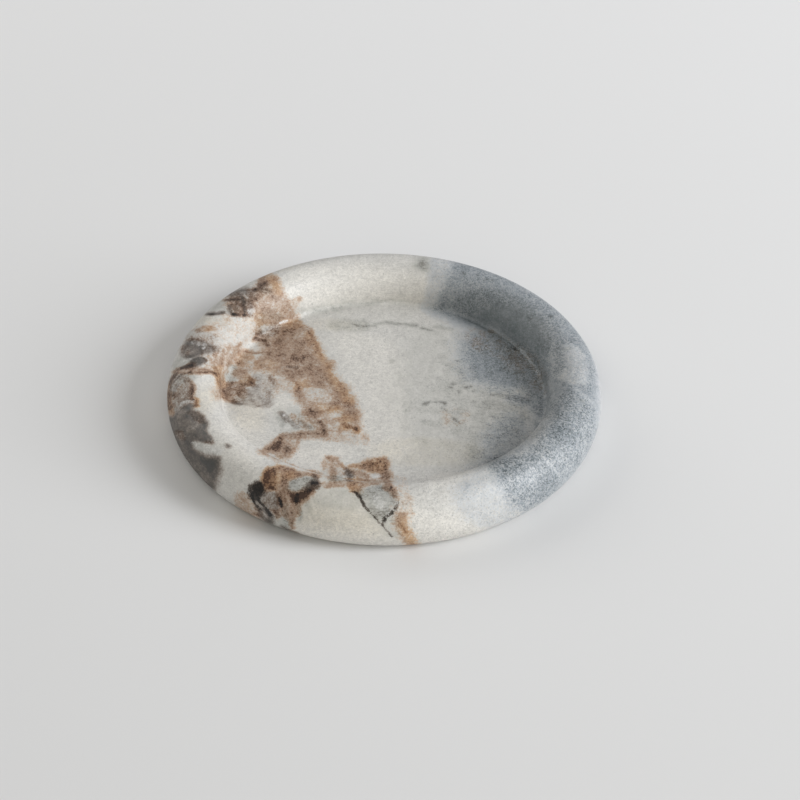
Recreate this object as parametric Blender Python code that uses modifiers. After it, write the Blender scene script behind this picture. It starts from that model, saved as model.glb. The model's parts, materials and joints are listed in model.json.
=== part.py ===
"""Round stone tray: one turned block of marble with a fat rounded rim, standing on four clear pads.

Metres, +Z up. The origin is on the surface that the tray stands on, under the middle of the tray.
"""

import math

import bmesh
import bpy

# The stone, measured on the turned block itself
STONE_DIAMETER = 0.150
STONE_HEIGHT = 0.0192
RIM_WIDTH = 0.0184
RIM_BELLY_HEIGHT = 0.0082  # the rim's widest level, above the stone's flat base
BASE_INSET = 0.005  # from the rim's widest circle in to the edge of the flat base
FLOOR_THICKNESS = 0.0047
FLOOR_FILLET = 0.0016  # the turning tool's corner, where the floor meets the rim's inner wall

# The pads that keep the stone off the table
PAD_COUNT = 4
PAD_DIAMETER = 0.010
PAD_THICKNESS = 0.0006
PAD_EDGE_RADIUS = 0.00015
PAD_INSET = 0.0172  # from the edge of the stone's flat base to the pad's centre
PAD_FIRST_ANGLE = math.radians(45)
ADHESIVE_GAP = 0.0003

# Mesh fineness
FACETS_AROUND = 96
CREST_STEPS = 22  # over the rim, from its inner to its outer widest point
FLANK_STEPS = 9  # from the rim's outer widest point down to the flat base
FILLET_STEPS = 4
PAD_FACETS = 32
PAD_EDGE_SEGMENTS = 2
AXIS_MERGE = 0.00001

# What follows from the sizes above
STONE_RADIUS = STONE_DIAMETER / 2
RIM_HALF_WIDTH = RIM_WIDTH / 2
RIM_MIDDLE_RADIUS = STONE_RADIUS - RIM_HALF_WIDTH
BASIN_RADIUS = STONE_RADIUS - RIM_WIDTH
BASE_RADIUS = STONE_RADIUS - BASE_INSET
BASE_LEVEL = PAD_THICKNESS + ADHESIVE_GAP
FLOOR_LEVEL = BASE_LEVEL + FLOOR_THICKNESS
BELLY_LEVEL = BASE_LEVEL + RIM_BELLY_HEIGHT
CREST_RISE = STONE_HEIGHT - RIM_BELLY_HEIGHT
PAD_CIRCLE_RADIUS = BASE_RADIUS - PAD_INSET


def clear_scene():
    """Removes whatever the scene holds."""
    for thing in list(bpy.data.objects):
        bpy.data.objects.remove(thing)


def collection_named(name):
    """A new collection in the scene, for the tray's own pieces."""
    made = bpy.data.collections.new(name)
    bpy.context.scene.collection.children.link(made)
    return made


def surface(name, colour, roughness):
    """A plain Principled material with the piece's own colour."""
    material = bpy.data.materials.new(name)
    material.use_nodes = True
    shader = material.node_tree.nodes["Principled BSDF"]
    shader.inputs["Base Color"].default_value = (*colour, 1.0)
    shader.inputs["Roughness"].default_value = roughness
    shader.inputs["Metallic"].default_value = 0.0
    return material


def arc(centre, half_width, half_height, start, end, steps):
    """Points of an elliptical arc in the (radius, height) plane, both ends included."""
    points = []
    for step in range(steps + 1):
        angle = start + (end - start) * step / steps
        points.append(
            (
                centre[0] + half_width * math.cos(angle),
                centre[1] + half_height * math.sin(angle),
            )
        )
    return points


def stone_profile():
    """The tray's section from the middle of its floor, over the rim and back under it to the axis."""
    crest_centre = (RIM_MIDDLE_RADIUS, BELLY_LEVEL)
    flank_centre = (BASE_RADIUS, BELLY_LEVEL)
    fillet_centre = (BASIN_RADIUS - FLOOR_FILLET, FLOOR_LEVEL + FLOOR_FILLET)
    points = [(0.0, FLOOR_LEVEL)]
    points += arc(fillet_centre, FLOOR_FILLET, FLOOR_FILLET, -math.pi / 2, 0.0, FILLET_STEPS)
    points += arc(crest_centre, RIM_HALF_WIDTH, CREST_RISE, math.pi, 0.0, CREST_STEPS)
    points += arc(flank_centre, BASE_INSET, RIM_BELLY_HEIGHT, 0.0, -math.pi / 2, FLANK_STEPS)[1:]
    points.append((0.0, BASE_LEVEL))
    return points


def turned(name, profile, facets):
    """A solid of revolution about Z, from a profile that runs down its outer side."""
    mesh = bpy.data.meshes.new(name)
    corners = [(radius, 0.0, height) for radius, height in profile]
    edges = [(i, i + 1) for i in range(len(corners) - 1)]
    mesh.from_pydata(corners, edges, [])
    made = bpy.data.objects.new(name, mesh)
    screw = made.modifiers.new("turn", "SCREW")
    screw.axis = "Z"
    screw.steps = facets
    screw.render_steps = facets
    screw.use_merge_vertices = True
    screw.merge_threshold = AXIS_MERGE
    screw.use_smooth_shade = True
    return made


def build_stone(parts):
    """The one block of marble."""
    stone = turned("stone_tray", stone_profile(), FACETS_AROUND)
    parts.objects.link(stone)
    stone.data.materials.append(surface("honed_marble", (0.60, 0.59, 0.56), 0.5))
    return stone


def pad_mesh():
    """A round pad with its flat sole on z = 0 and its two rims softened."""
    mesh = bpy.data.meshes.new("foot_pad")
    body = bmesh.new()
    bmesh.ops.create_cone(
        body,
        cap_ends=True,
        segments=PAD_FACETS,
        radius1=PAD_DIAMETER / 2,
        radius2=PAD_DIAMETER / 2,
        depth=PAD_THICKNESS,
    )
    bmesh.ops.translate(body, verts=body.verts, vec=(0.0, 0.0, PAD_THICKNESS / 2))
    rims = [edge for edge in body.edges if abs(edge.verts[0].co.z - edge.verts[1].co.z) < AXIS_MERGE]
    bmesh.ops.bevel(
        body,
        geom=rims,
        offset=PAD_EDGE_RADIUS,
        segments=PAD_EDGE_SEGMENTS,
        affect="EDGES",
        profile=0.5,
    )
    body.to_mesh(mesh)
    body.free()
    mesh.materials.append(surface("clear_silicone", (0.80, 0.82, 0.82), 0.35))
    return mesh


def build_pads(parts):
    """The pads, evenly spaced on one circle under the stone's flat base."""
    mesh = pad_mesh()
    for number in range(PAD_COUNT):
        angle = PAD_FIRST_ANGLE + 2 * math.pi * number / PAD_COUNT
        pad = bpy.data.objects.new(f"foot_pad_{number + 1}", mesh)
        pad.location = (
            PAD_CIRCLE_RADIUS * math.cos(angle),
            PAD_CIRCLE_RADIUS * math.sin(angle),
            0.0,
        )
        pad.rotation_euler.z = angle
        parts.objects.link(pad)


def main():
    clear_scene()
    parts = collection_named("stone_tray")
    build_stone(parts)
    build_pads(parts)


main()
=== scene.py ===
# %% [markdown]
# # A tray of mottled marble
#
# The object is one turned block of stone: a flat basin, a short upright wall, and a fat rounded rim
# that rolls over and down to a flat base. It stands on four clear stick-on pads. The looks
# are all in the stone, so most of this lesson is about how a marble's patches, veins and crystals
# are laid through a block and brought to its surface.
#
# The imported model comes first. It gives every size that the visible pieces have to keep, and the
# pieces that are made here take its places.

# %% Load the frame
import json
import math
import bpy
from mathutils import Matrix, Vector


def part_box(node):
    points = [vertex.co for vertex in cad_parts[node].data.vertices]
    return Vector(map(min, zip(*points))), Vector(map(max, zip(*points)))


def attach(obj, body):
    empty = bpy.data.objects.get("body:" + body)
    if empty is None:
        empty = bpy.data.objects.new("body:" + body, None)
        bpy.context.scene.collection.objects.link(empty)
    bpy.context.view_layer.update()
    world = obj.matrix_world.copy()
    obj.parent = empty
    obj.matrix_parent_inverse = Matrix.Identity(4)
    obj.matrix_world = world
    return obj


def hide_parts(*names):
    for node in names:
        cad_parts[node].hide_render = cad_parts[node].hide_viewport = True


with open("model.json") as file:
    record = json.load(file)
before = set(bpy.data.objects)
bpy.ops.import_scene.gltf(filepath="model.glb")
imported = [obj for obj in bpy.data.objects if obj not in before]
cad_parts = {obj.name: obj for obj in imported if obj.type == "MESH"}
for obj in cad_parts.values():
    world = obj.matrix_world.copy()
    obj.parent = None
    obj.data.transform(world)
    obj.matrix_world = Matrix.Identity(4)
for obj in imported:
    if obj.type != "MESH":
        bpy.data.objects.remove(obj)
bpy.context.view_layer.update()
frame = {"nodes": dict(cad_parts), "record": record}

from types import SimpleNamespace

import bpy
import numpy as np
from mathutils import Matrix, Vector, noise

MM = 0.001
stone_low, stone_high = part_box("stone_tray")
print("nodes:", sorted(frame["nodes"]), "stone:", tuple(stone_low), tuple(stone_high))

# %% [markdown]
# ## The camera
#
# A photograph's camera can be found from the object in it. The tray is round, and how much its
# circle is flattened gives the height of the view. How much wider the near half looks than the far
# half gives the distance, and its size in the picture gives the lens. The picture leans by a
# little more than a degree, which is the roll here.

# %% The camera
CAMERA_PLACE = Vector((0.0, -0.46885, 0.37070))
CAMERA_AIM = Vector((0.00550, 0.00756, -0.00210))
CAMERA_LENS_MM = 76.72
CAMERA_SENSOR_MM = 36.0
CAMERA_ROLL = math.radians(1.23)


def added(name, data):
    """An object with this data, in the scene."""
    thing = bpy.data.objects.new(name, data)
    bpy.context.scene.collection.objects.link(thing)
    return thing


def make_camera():
    """The photograph's view, as a camera with no depth of field."""
    ahead = (CAMERA_AIM - CAMERA_PLACE).normalized()
    level = ahead.cross(Vector((0, 0, 1))).normalized()
    upright = level.cross(ahead)
    right = level * math.cos(CAMERA_ROLL) + upright * math.sin(CAMERA_ROLL)
    up = upright * math.cos(CAMERA_ROLL) - level * math.sin(CAMERA_ROLL)
    camera = added("camera", bpy.data.cameras.new("camera"))
    camera.data.lens = CAMERA_LENS_MM
    camera.data.sensor_width = CAMERA_SENSOR_MM
    turned = Matrix((right, up, -ahead)).transposed().to_4x4()
    camera.matrix_world = Matrix.Translation(CAMERA_PLACE) @ turned
    bpy.context.scene.camera = camera
    return camera


make_camera()
print("camera at", tuple(CAMERA_PLACE), "looking at", tuple(CAMERA_AIM))

# %% [markdown]
# ## Formulas in node trees
#
# The stone's shape and its finish are both made by node trees. A formula with five operations is
# five Math nodes, which is hard to read as code. The small class below stands for a value inside a
# tree: adding or multiplying it adds the Math node and its links, so that the code keeps the look
# of the formula.

# %% Helpers for node trees
class Term:
    """A value that a node tree works out. Sums and products of terms add Math nodes."""

    def __init__(self, tree, socket):
        self.tree = tree
        self.socket = socket

    def __add__(self, other):
        return math_node(self.tree, "ADD", self, other)

    def __sub__(self, other):
        return math_node(self.tree, "SUBTRACT", self, other)

    def __rsub__(self, other):
        return math_node(self.tree, "SUBTRACT", other, self)

    def __mul__(self, other):
        return math_node(self.tree, "MULTIPLY", self, other)

    def __truediv__(self, other):
        return math_node(self.tree, "DIVIDE", self, other)

    __radd__ = __add__
    __rmul__ = __mul__


# %% Helpers that make nodes
def feed(tree, socket, value):
    """Links a socket to a term, or gives it a plain value."""
    if isinstance(value, Term):
        tree.links.new(value.socket, socket)
    else:
        socket.default_value = value


def add_node(tree, kind, inputs=None, **settings):
    """A node with its settings and inputs, given by their names or numbers."""
    node = tree.nodes.new(kind)
    for name, value in settings.items():
        setattr(node, name, value)
    for name, value in (inputs or {}).items():
        feed(tree, node.inputs[name], value)
    return node


def term(tree, kind, inputs=None, output=0, **settings):
    """A node's output, as a term."""
    return Term(tree, add_node(tree, kind, inputs, **settings).outputs[output])


def math_node(tree, operation, *values):
    """One Math node."""
    return term(tree, "ShaderNodeMath", dict(enumerate(values)), operation=operation)


def point_term(tree, x, y, z=0.0):
    """A point, or a vector."""
    return term(tree, "ShaderNodeCombineXYZ", {"X": x, "Y": y, "Z": z})


def new_tree(kind, name, inputs, outputs):
    """A node tree with named sockets. Returns it, its inputs as terms and its output node."""
    tree = bpy.data.node_groups.new(name, kind)
    for socket_name, (socket_type, value) in inputs.items():
        socket = tree.interface.new_socket(socket_name, in_out="INPUT", socket_type=socket_type)
        if value is not None:
            socket.default_value = value
    for socket_name, socket_type in outputs.items():
        tree.interface.new_socket(socket_name, in_out="OUTPUT", socket_type=socket_type)
    entry = tree.nodes.new("NodeGroupInput")
    given = {name: Term(tree, entry.outputs[name]) for name in inputs}
    return tree, given, tree.nodes.new("NodeGroupOutput")


LENGTH, COUNT, ANGLE, FACTOR = "NodeSocketFloat", "NodeSocketInt", "NodeSocketFloat", "NodeSocketFloat"
SHAPE, FINISH = "NodeSocketGeometry", "NodeSocketMaterial"

# %% [markdown]
# ## The turned block
#
# A lathe gives the stone its shape, so the shape is one section, turned, and that is how the CAD
# model is made. In Blender a Screw modifier does the same. Here the rim is swept with Geometry Nodes
# instead, because the mesh also has to carry the stone's pattern: every face must be of about the
# same small size, and a plain screw makes long thin faces around a flat floor. So the floor and the
# base are square grids that a formula rounds into discs, and the rim between them is a ring of the
# same pitch.

# %% Sizes of the stone
RIM_WIDTH = 18.4 * MM
RIM_BELLY_HEIGHT = 8.2 * MM
BASE_INSET = 5.0 * MM
FLOOR_FILLET = 1.6 * MM
CELLS_ACROSS = 160  # of the floor's grid, and a quarter of the ring's steps around
FILLET_STEPS, WALL_STEPS, CREST_STEPS, FLANK_STEPS = 5, 3, 42, 20
SEAM_MERGE = 0.01 * MM

stone_radius = stone_high.x
rim_middle = stone_radius - RIM_WIDTH / 2
base_radius = stone_radius - BASE_INSET
base_level = stone_low.z
belly_level = base_level + RIM_BELLY_HEIGHT
basin_floor = next(mount for mount in frame["record"]["mounts"] if mount["name"] == "basin_floor")
floor_level = basin_floor["pos_m"][2]
print(f"stone {2000 * stone_radius:.1f} mm across, floor at {1000 * floor_level:.1f} mm")

# %% A disc made from a square grid
def disc_tree():
    """Grid points moved outwards so that the square's sides become a circle, in steps of equal angle."""
    tree, given, out = new_tree(
        "GeometryNodeTree",
        "square to disc",
        {"Radius": (LENGTH, 1.0), "Level": (LENGTH, 0.0), "Cells": (COUNT, CELLS_ACROSS)},
        {"Geometry": SHAPE},
    )
    corners = given["Cells"] + 1
    grid = term(
        tree,
        "GeometryNodeMeshGrid",
        {"Size X": 2.0, "Size Y": 2.0, "Vertices X": corners, "Vertices Y": corners},
    )
    place = add_node(tree, "ShaderNodeSeparateXYZ", {0: term(tree, "GeometryNodeInputPosition")})
    across, along = (Term(tree, place.outputs[i]) for i in range(2))
    sideways = math_node(
        tree, "GREATER_THAN", math_node(tree, "ABSOLUTE", across), math_node(tree, "ABSOLUTE", along)
    )
    eighth = math.pi / 4
    turn_x, turn_y = along / across * eighth, across / along * eighth
    side, rest = sideways * across, (1 - sideways) * along
    x = side * math_node(tree, "COSINE", turn_x) + rest * math_node(tree, "SINE", turn_y)
    y = side * math_node(tree, "SINE", turn_x) + rest * math_node(tree, "COSINE", turn_y)
    rounded = point_term(tree, x * given["Radius"], y * given["Radius"], given["Level"])
    moved = term(tree, "GeometryNodeSetPosition", {"Geometry": grid, "Position": rounded})
    feed(tree, out.inputs[0], moved)
    return tree


# %% Stretches of the section, rings, and how a tree ends
def arc_term(tree, centre, half_width, half_height, start, sweep, steps):
    """A stretch of the section: an arc of an ellipse about its centre, in the section's own plane."""
    arc = term(
        tree,
        "GeometryNodeCurveArc",
        {"Resolution": steps + 1, "Radius": 1.0, "Start Angle": start, "Sweep Angle": sweep},
    )
    scale, shift = point_term(tree, half_width, half_height, 1.0), point_term(tree, *centre)
    return term(tree, "GeometryNodeTransform", {"Geometry": arc, "Translation": shift, "Scale": scale})


def wall_term(tree, x, low, high):
    """The upright stretch of the section between the fillet and the crest."""
    ends = {"Start": point_term(tree, x, low), "End": point_term(tree, x, high)}
    line = term(tree, "GeometryNodeCurvePrimitiveLine", ends)
    return term(tree, "GeometryNodeResampleCurve", {"Curve": line, "Count": WALL_STEPS + 1})


def circle_term(tree, steps, radius):
    """A ring in so many steps."""
    return term(tree, "GeometryNodeCurvePrimitiveCircle", {"Resolution": steps, "Radius": radius})


def finish_tree(tree, out, geometry, material):
    """Makes a tree's geometry real, shades it smooth and gives it its material."""
    real = term(tree, "GeometryNodeRealizeInstances", {"Geometry": geometry})
    smooth = term(tree, "GeometryNodeSetShadeSmooth", {"Geometry": real})
    finished = term(tree, "GeometryNodeSetMaterial", {"Geometry": smooth, "Material": material})
    feed(tree, out.inputs[0], finished)


# %% The block's tree
def stone_tree():
    """The whole block: rim swept round a circle, floor and base as discs, joined at their edges."""
    tree, given, out = new_tree(
        "GeometryNodeTree",
        "turned stone",
        {
            "Rim Middle Radius": (LENGTH, 0.0),
            "Rim Half Width": (LENGTH, 0.0),
            "Base Radius": (LENGTH, 0.0),
            "Base Level": (LENGTH, 0.0),
            "Floor Level": (LENGTH, 0.0),
            "Belly Level": (LENGTH, 0.0),
            "Crest Level": (LENGTH, 0.0),
            "Fillet": (LENGTH, 0.0),
            "Cells Across": (COUNT, 4),
            "Finish": (FINISH, None),
        },
        {"Geometry": SHAPE},
    )
    half, belly, fillet = given["Rim Half Width"], given["Belly Level"], given["Fillet"]
    quarter, half_turn = math.pi / 2, math.pi
    hollow = (0 - half - fillet, given["Floor Level"] + fillet)
    base_edge = given["Base Radius"] - given["Rim Middle Radius"]
    flank_width, flank_height = half - base_edge, belly - given["Base Level"]
    section = term(tree, "GeometryNodeJoinGeometry")
    stretches = (
        arc_term(tree, hollow, fillet, fillet, -quarter, quarter, FILLET_STEPS),
        wall_term(tree, 0 - half, given["Floor Level"] + fillet, belly),
        arc_term(tree, (0.0, belly), half, given["Crest Level"] - belly, half_turn, -half_turn, CREST_STEPS),
        arc_term(tree, (base_edge, belly), flank_width, flank_height, 0.0, -quarter, FLANK_STEPS),
    )
    for stretch in stretches:
        tree.links.new(stretch.socket, section.socket.node.inputs[0])
    ring = circle_term(tree, given["Cells Across"] * 4, given["Rim Middle Radius"])
    # A profile's Y points down round this ring, so the section is turned over first.
    turned = term(tree, "GeometryNodeTransform", {"Geometry": section, "Scale": (1.0, -1.0, 1.0)})
    swept = term(tree, "GeometryNodeCurveToMesh", {"Curve": ring, "Profile Curve": turned})
    disc, floor_radius = disc_tree(), given["Rim Middle Radius"] - half - fillet
    rounds = ((floor_radius, given["Floor Level"]), (given["Base Radius"], given["Base Level"]))
    floor, base = (
        term(
            tree,
            "GeometryNodeGroup",
            {"Radius": radius, "Level": level, "Cells": given["Cells Across"]},
            node_tree=disc,
        )
        for radius, level in rounds
    )
    whole = term(tree, "GeometryNodeJoinGeometry")
    for part in (swept, floor, term(tree, "GeometryNodeFlipFaces", {"Mesh": base})):
        tree.links.new(part.socket, whole.socket.node.inputs[0])
    closed = term(tree, "GeometryNodeMergeByDistance", {"Geometry": whole, "Distance": SEAM_MERGE})
    finish_tree(tree, out, closed, given["Finish"])
    return tree


# %% Grow the block and make it a plain mesh
def grown(name, tree, values):
    """An object whose plain mesh is what a Geometry Nodes tree makes from these input values."""
    seed = added(name + "_seed", bpy.data.meshes.new(name + "_seed"))
    modifier = seed.modifiers.new("grow", "NODES")
    modifier.node_group = tree
    sockets = {item.name: item.identifier for item in tree.interface.items_tree if item.in_out == "INPUT"}
    for label, value in values.items():
        modifier[sockets[label]] = value
    seen = seed.evaluated_get(bpy.context.evaluated_depsgraph_get())
    mesh = bpy.data.meshes.new_from_object(seen)
    mesh.name = name
    bpy.data.objects.remove(seed)
    return added(name, mesh)


marble = bpy.data.materials.new("honed marble")
stone = grown(
    "turned_stone",
    stone_tree(),
    {
        "Rim Middle Radius": rim_middle,
        "Rim Half Width": RIM_WIDTH / 2,
        "Base Radius": base_radius,
        "Base Level": base_level,
        "Floor Level": floor_level,
        "Belly Level": belly_level,
        "Crest Level": stone_high.z,
        "Fillet": FLOOR_FILLET,
        "Cells Across": CELLS_ACROSS,
        "Finish": marble,
    },
)
print("stone vertices", len(stone.data.vertices), "faces", len(stone.data.polygons))

# %% [markdown]
# ## How a pattern lies in a block of marble
#
# A marble's colours are not painted on its skin. They are bands and clots that run through the
# block, and turning the tray only uncovers them: the same brown patch crosses the floor, climbs the
# wall and rolls over the rim. A flat image wrapped round the tray would break at the wall and smear
# on the flank. A noise texture alone runs through the block, but it can't be told where the patches
# of this tray lie.
#
# So the patches are drawn once, on a tilted plane, and pushed through the block along the dip of
# its bands. A point of the block is found on that plane by its place across, and by its place along
# plus its height times the slope of the dip. Each pigment's patches, spots and strokes are drawn
# there in millimetres. Every vertex stores how deep inside a patch it is, not a colour, so
# that the shader can later tear the edges finely between the vertices.

# %% Every vertex's place on the pattern plane
DIP = math.radians(38.5)
WANDER = ((4.5, 0.55), (1.7, 0.28))  # size of the wandering and how far it moves an edge, in mm
DEEPEST = 3.0  # levels are kept between this and its negative


def vertex_places(mesh):
    """All the vertices of a mesh, in mm."""
    places = np.empty(len(mesh.vertices) * 3)
    mesh.vertices.foreach_get("co", places)
    return places.reshape(-1, 3) / MM


def pattern_places(places):
    """Where the block's points lie on the pattern plane, with the small wandering of natural edges.

    The noise takes its start from the clock, so the wandering is a little different in every run.
    """
    across = places[:, 0].copy()
    along = places[:, 1] + (places[:, 2] - floor_level / MM) / math.tan(DIP)
    for size, reach in WANDER:
        drift = np.array([noise.noise_vector(Vector(place) / size) for place in places])
        across += reach * drift[:, 0]
        along += reach * drift[:, 1]
    return across, along


across, along = pattern_places(vertex_places(stone.data))
print(f"pattern plane, mm: {across.min():.0f} to {across.max():.0f}, {along.min():.0f} to {along.max():.0f}")


# %% Drawing on the pattern plane
def rounded_outline(corners, steps=4):
    """A closed outline through given corners, rounded between them as a Catmull-Rom curve."""
    points = np.array(corners, float)
    before, after, beyond = np.roll(points, 1, 0), np.roll(points, -1, 0), np.roll(points, -2, 0)
    rows = []
    for step in range(steps):
        t = step / steps
        rows.append(
            points
            + 0.5 * t * (after - before)
            + 0.5 * t**2 * (2 * before - 5 * points + 4 * after - beyond)
            + 0.5 * t**3 * (3 * points - before - 3 * after + beyond)
        )
    return np.stack(rows, 1).reshape(-1, 2)


def away_from(x, y, start, end):
    """Distance from each point to a straight stretch, and how far along it that is, from 0 to 1."""
    run = np.subtract(end, start)
    share = ((x - start[0]) * run[0] + (y - start[1]) * run[1]) / max(run @ run, 1e-9)
    share = np.clip(share, 0.0, 1.0)
    return np.hypot(x - start[0] - share * run[0], y - start[1] - share * run[1]), share


class Pigment:
    """One mineral colour in the block: how deep every vertex is inside it. 0 is on an edge.

    A strength caps how full the colour gets: 0.5 is half and 1 is full, and above 1 the colour also
    stays full where noise tears it. Edge is the softness of a border in mm.
    With island=True a shape is taken away again instead, as an island of what lies under it.
    """

    def __init__(self, name):
        self.name = name
        self.level = np.full(len(across), -DEEPEST)

    def around(self, low, high):
        """The vertices inside an upright box of the plane."""
        return (across > low[0]) & (across < high[0]) & (along > low[1]) & (along < high[1])

    def lay(self, depth, near, edge, strength, island):
        """Adds or takes away a shape, from its depth in mm at the vertices near it."""
        if island:
            level = np.clip(-depth / edge, 1 - 2 * strength, DEEPEST)
            self.level[near] = np.minimum(self.level[near], level)
        else:
            level = np.clip(depth / edge, -DEEPEST, 2 * strength - 1)
            self.level[near] = np.maximum(self.level[near], level)

    def patches(self, edge, *shapes, island=False):
        """Closed, rounded outlines. A shape is (strength, corners)."""
        for strength, corners in shapes:
            outline = rounded_outline(corners)
            near = self.around(outline.min(0) - DEEPEST * edge, outline.max(0) + DEEPEST * edge)
            x, y = across[near], along[near]
            nearest = np.full(len(x), np.inf)
            inside = np.zeros(len(x), bool)
            for start, end in zip(outline, np.roll(outline, -1, 0)):
                nearest = np.minimum(nearest, away_from(x, y, start, end)[0])
                spans = (start[1] > y) != (end[1] > y)
                rise = end[1] - start[1] or 1.0
                inside ^= spans & (x < (end[0] - start[0]) * (y - start[1]) / rise + start[0])
            self.lay(np.where(inside, nearest, -nearest), near, edge, strength, island)

    def strokes(self, edge, *shapes, island=False):
        """Streaks. A shape is (strength, route), and a point of the route is (across, along, width)."""
        for strength, route in shapes:
            route = np.array(route, float)
            reach = DEEPEST * edge + route[:, 2].max()
            near = self.around(route[:, :2].min(0) - reach, route[:, :2].max(0) + reach)
            x, y = across[near], along[near]
            depth = np.full(len(x), -np.inf)
            for start, end in zip(route[:-1], route[1:]):
                off, share = away_from(x, y, start[:2], end[:2])
                depth = np.maximum(depth, (start[2] + share * (end[2] - start[2])) / 2 - off)
            self.lay(depth, near, edge, strength, island)

    def spots(self, edge, *shapes, island=False):
        """Ovals. A shape is (strength, across, along, width, length, turn in degrees)."""
        for strength, middle_across, middle_along, width, length, turn in shapes:
            lean = math.radians(turn)
            aside, ahead = across - middle_across, along - middle_along
            x = (aside * math.cos(lean) + ahead * math.sin(lean)) / (width / 2)
            y = (ahead * math.cos(lean) - aside * math.sin(lean)) / (length / 2)
            depth = (1 - np.hypot(x, y)) * min(width, length) / 2
            near = depth > -DEEPEST * edge
            self.lay(depth[near], near, edge, strength, island)

    def store(self, mesh):
        """Writes the level on the mesh, for the shader to read."""
        mesh.attributes.new(self.name, "FLOAT", "POINT").data.foreach_set("value", self.level)

    def report(self):
        """Prints how much of the stone the pigment has reached so far."""
        print(f"{self.name}: on {100 * np.mean(self.level > 0):.1f} % of the vertices")


# %% [markdown]
# ## The pale ground and the blue-grey slate
#
# Most of the block is a sugary white that leans to cream in some clots and to snow in others. On
# its right a blue-grey slate colour soaks through the same crystals, darkest in a band along the
# basin's wall, and thins out over the floor with no edge at all. Its darkest line, in the crease at
# the wall's foot, is slate in part and painted shade in part.

# %% Cream and snow
cream = Pigment("cream")
cream.patches(
    5.0,
    (0.85, [(-24, -55), (-16, -56), (-6, -58), (0, -66), (-2, -70), (-14, -68), (-26, -66)]),
    (0.45, [(-22, -44), (-10, -48), (-8, -56), (-20, -56)]),
)
cream.spots(
    3.0,
    (0.75, -64, 41.5, 10, 5, 0), (0.60, -60, -5, 5, 12, 0), (0.40, -42, 78, 12, 6, 0),
    (0.50, 14, -30, 30, 12, 0), (0.55, -47, -10, 8, 18, 20), (0.45, -20, 42, 12, 4, 0),
)

snow = Pigment("snow")
snow.patches(
    5.0,
    (1.15, [(-55, -14), (-50, -13), (-45, -16), (-42, -20), (-42, -27), (-40, -34), (-43, -38), (-48, -34),
            (-52, -26), (-55, -20)]),
    (0.80, [(-30, -30), (-22, -28), (-12, -30), (-12, -33), (-18, -38), (-26, -38), (-31, -34)]),
    (0.80, [(-26, -68), (-10, -68.5), (-1, -70), (2, -76), (-14, -79), (-30, -73)]),
    (0.50, [(-36, 64), (-32, 56), (-20, 56), (0, 60), (14, 56), (17, 64), (10, 72), (-10, 76), (-30, 74)]),
    (0.60, [(8, -60), (20, -62), (34, -58), (34, -68), (12, -78), (6, -72)]),
    (0.55, [(-8, -14), (-6, -26), (0, -32), (8, -28), (6, -10), (4, 24), (-6, 34), (-16, 34), (-12, 14),
            (-6, 0)]),
)
snow.strokes(
    3.0,
    (0.55, [(-62, 9, 3), (-60, 4, 5), (-58.5, -4, 6), (-57, -10, 6)]),
    (0.60, [(-38, 0, 3), (-35, -4, 5), (-37, -8, 4), (-44, -9, 4)]),
)
snow.strokes(2.0, (0.45, [(14, -46, 2), (24, -42.5, 2), (34, -37, 1.5)]))

for pigment in (cream, snow):
    pigment.report()

# %% Slate
slate = Pigment("slate")
slate.patches(
    6.5,
    (0.60, [(26, 82), (24.4, 77), (22.6, 70), (21, 62), (19.6, 56), (18.6, 53.6), (21, 50.6), (24.6, 47),
            (30, 43), (34, 39.6), (37, 36), (44, 36), (60, 36), (69, 37), (61, 55), (50, 67), (40, 76)]),
    (0.585, [(57.6, 38), (72, 37), (72, 10), (71.4, -10), (68, -28), (60, -44), (52, -54), (46, -58),
             (41, -54), (38.4, -47), (36, -42), (35, -36), (36, -32), (42, -33), (48, -28), (52.4, -20),
             (55.4, -12), (56, -2), (57, 16)]),
)
slate.patches(
    8.0,
    (0.60, [(33, 39), (30.6, 35), (29.4, 28), (30, 20), (32, 13.4), (36, 10), (44, 8), (52, 14), (50, 34),
            (40, 40)]),
)
slate.patches(
    5.0,
    (0.64, [(33, 36), (33.6, 24), (36, 12), (39, 8.6), (44, 6.8), (49, 5.6), (51.6, 1), (52.4, -6),
            (54, -10), (57, -4), (58, 12), (58, 30), (50, 38), (38, 38)]),
    (0.74, [(30, 60), (27, 56), (29, 51.4), (36, 45.4), (43, 38.6), (48, 32), (52, 24), (55, 15), (58, 20),
            (59, 32), (57, 42), (52, 50), (45, 57), (37, 61)]),
    (0.70, [(27, 63), (24.4, 59), (22.6, 53.4), (26, 49), (30, 44.6), (34, 41), (37, 36), (38, 27),
            (38, 19), (40, 12.6), (42, 9.4), (46, 8), (52, 5), (54, 0), (57.4, 4), (58, 16), (59, 28),
            (60, 36), (57.4, 45), (54, 52), (49.6, 60), (43, 65), (34, 66)]),
)
slate.strokes(
    5.0,
    (0.83, [(31, 50, 3), (37, 43.4, 5), (41, 38, 5), (45, 31.6, 5), (48, 27, 4), (50, 20, 2)]),
    (0.765, [(39, 55, 3), (46, 46, 4), (51, 36, 4), (53, 28, 3)]),
    (0.73, [(47, 11, 3), (52, 9, 4), (54, 3, 3)]),
    (0.58, [(46, -1, 2), (52, -3, 3), (54, -10, 2)]),
)
slate.spots(
    6.0,
    (0.71, 58.6, -20, 11, 16, 20), (0.60, 41, -36.5, 9, 11, 10), (0.64, 53, -43, 10, 10, 20),
    (0.64, 62, 0, 8, 10, 0), (0.40, 41.6, -22, 8, 15, -20),
)
slate.patches(8.0, (0.28, [(36, -38), (31, -44), (28, -52), (31, -60), (40, -64), (42, -50)]))
slate.patches(4.0, (0.30, [(20, 84), (18, 70), (17, 60), (15, 54), (22, 50), (26, 60), (26, 80)]))
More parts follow.
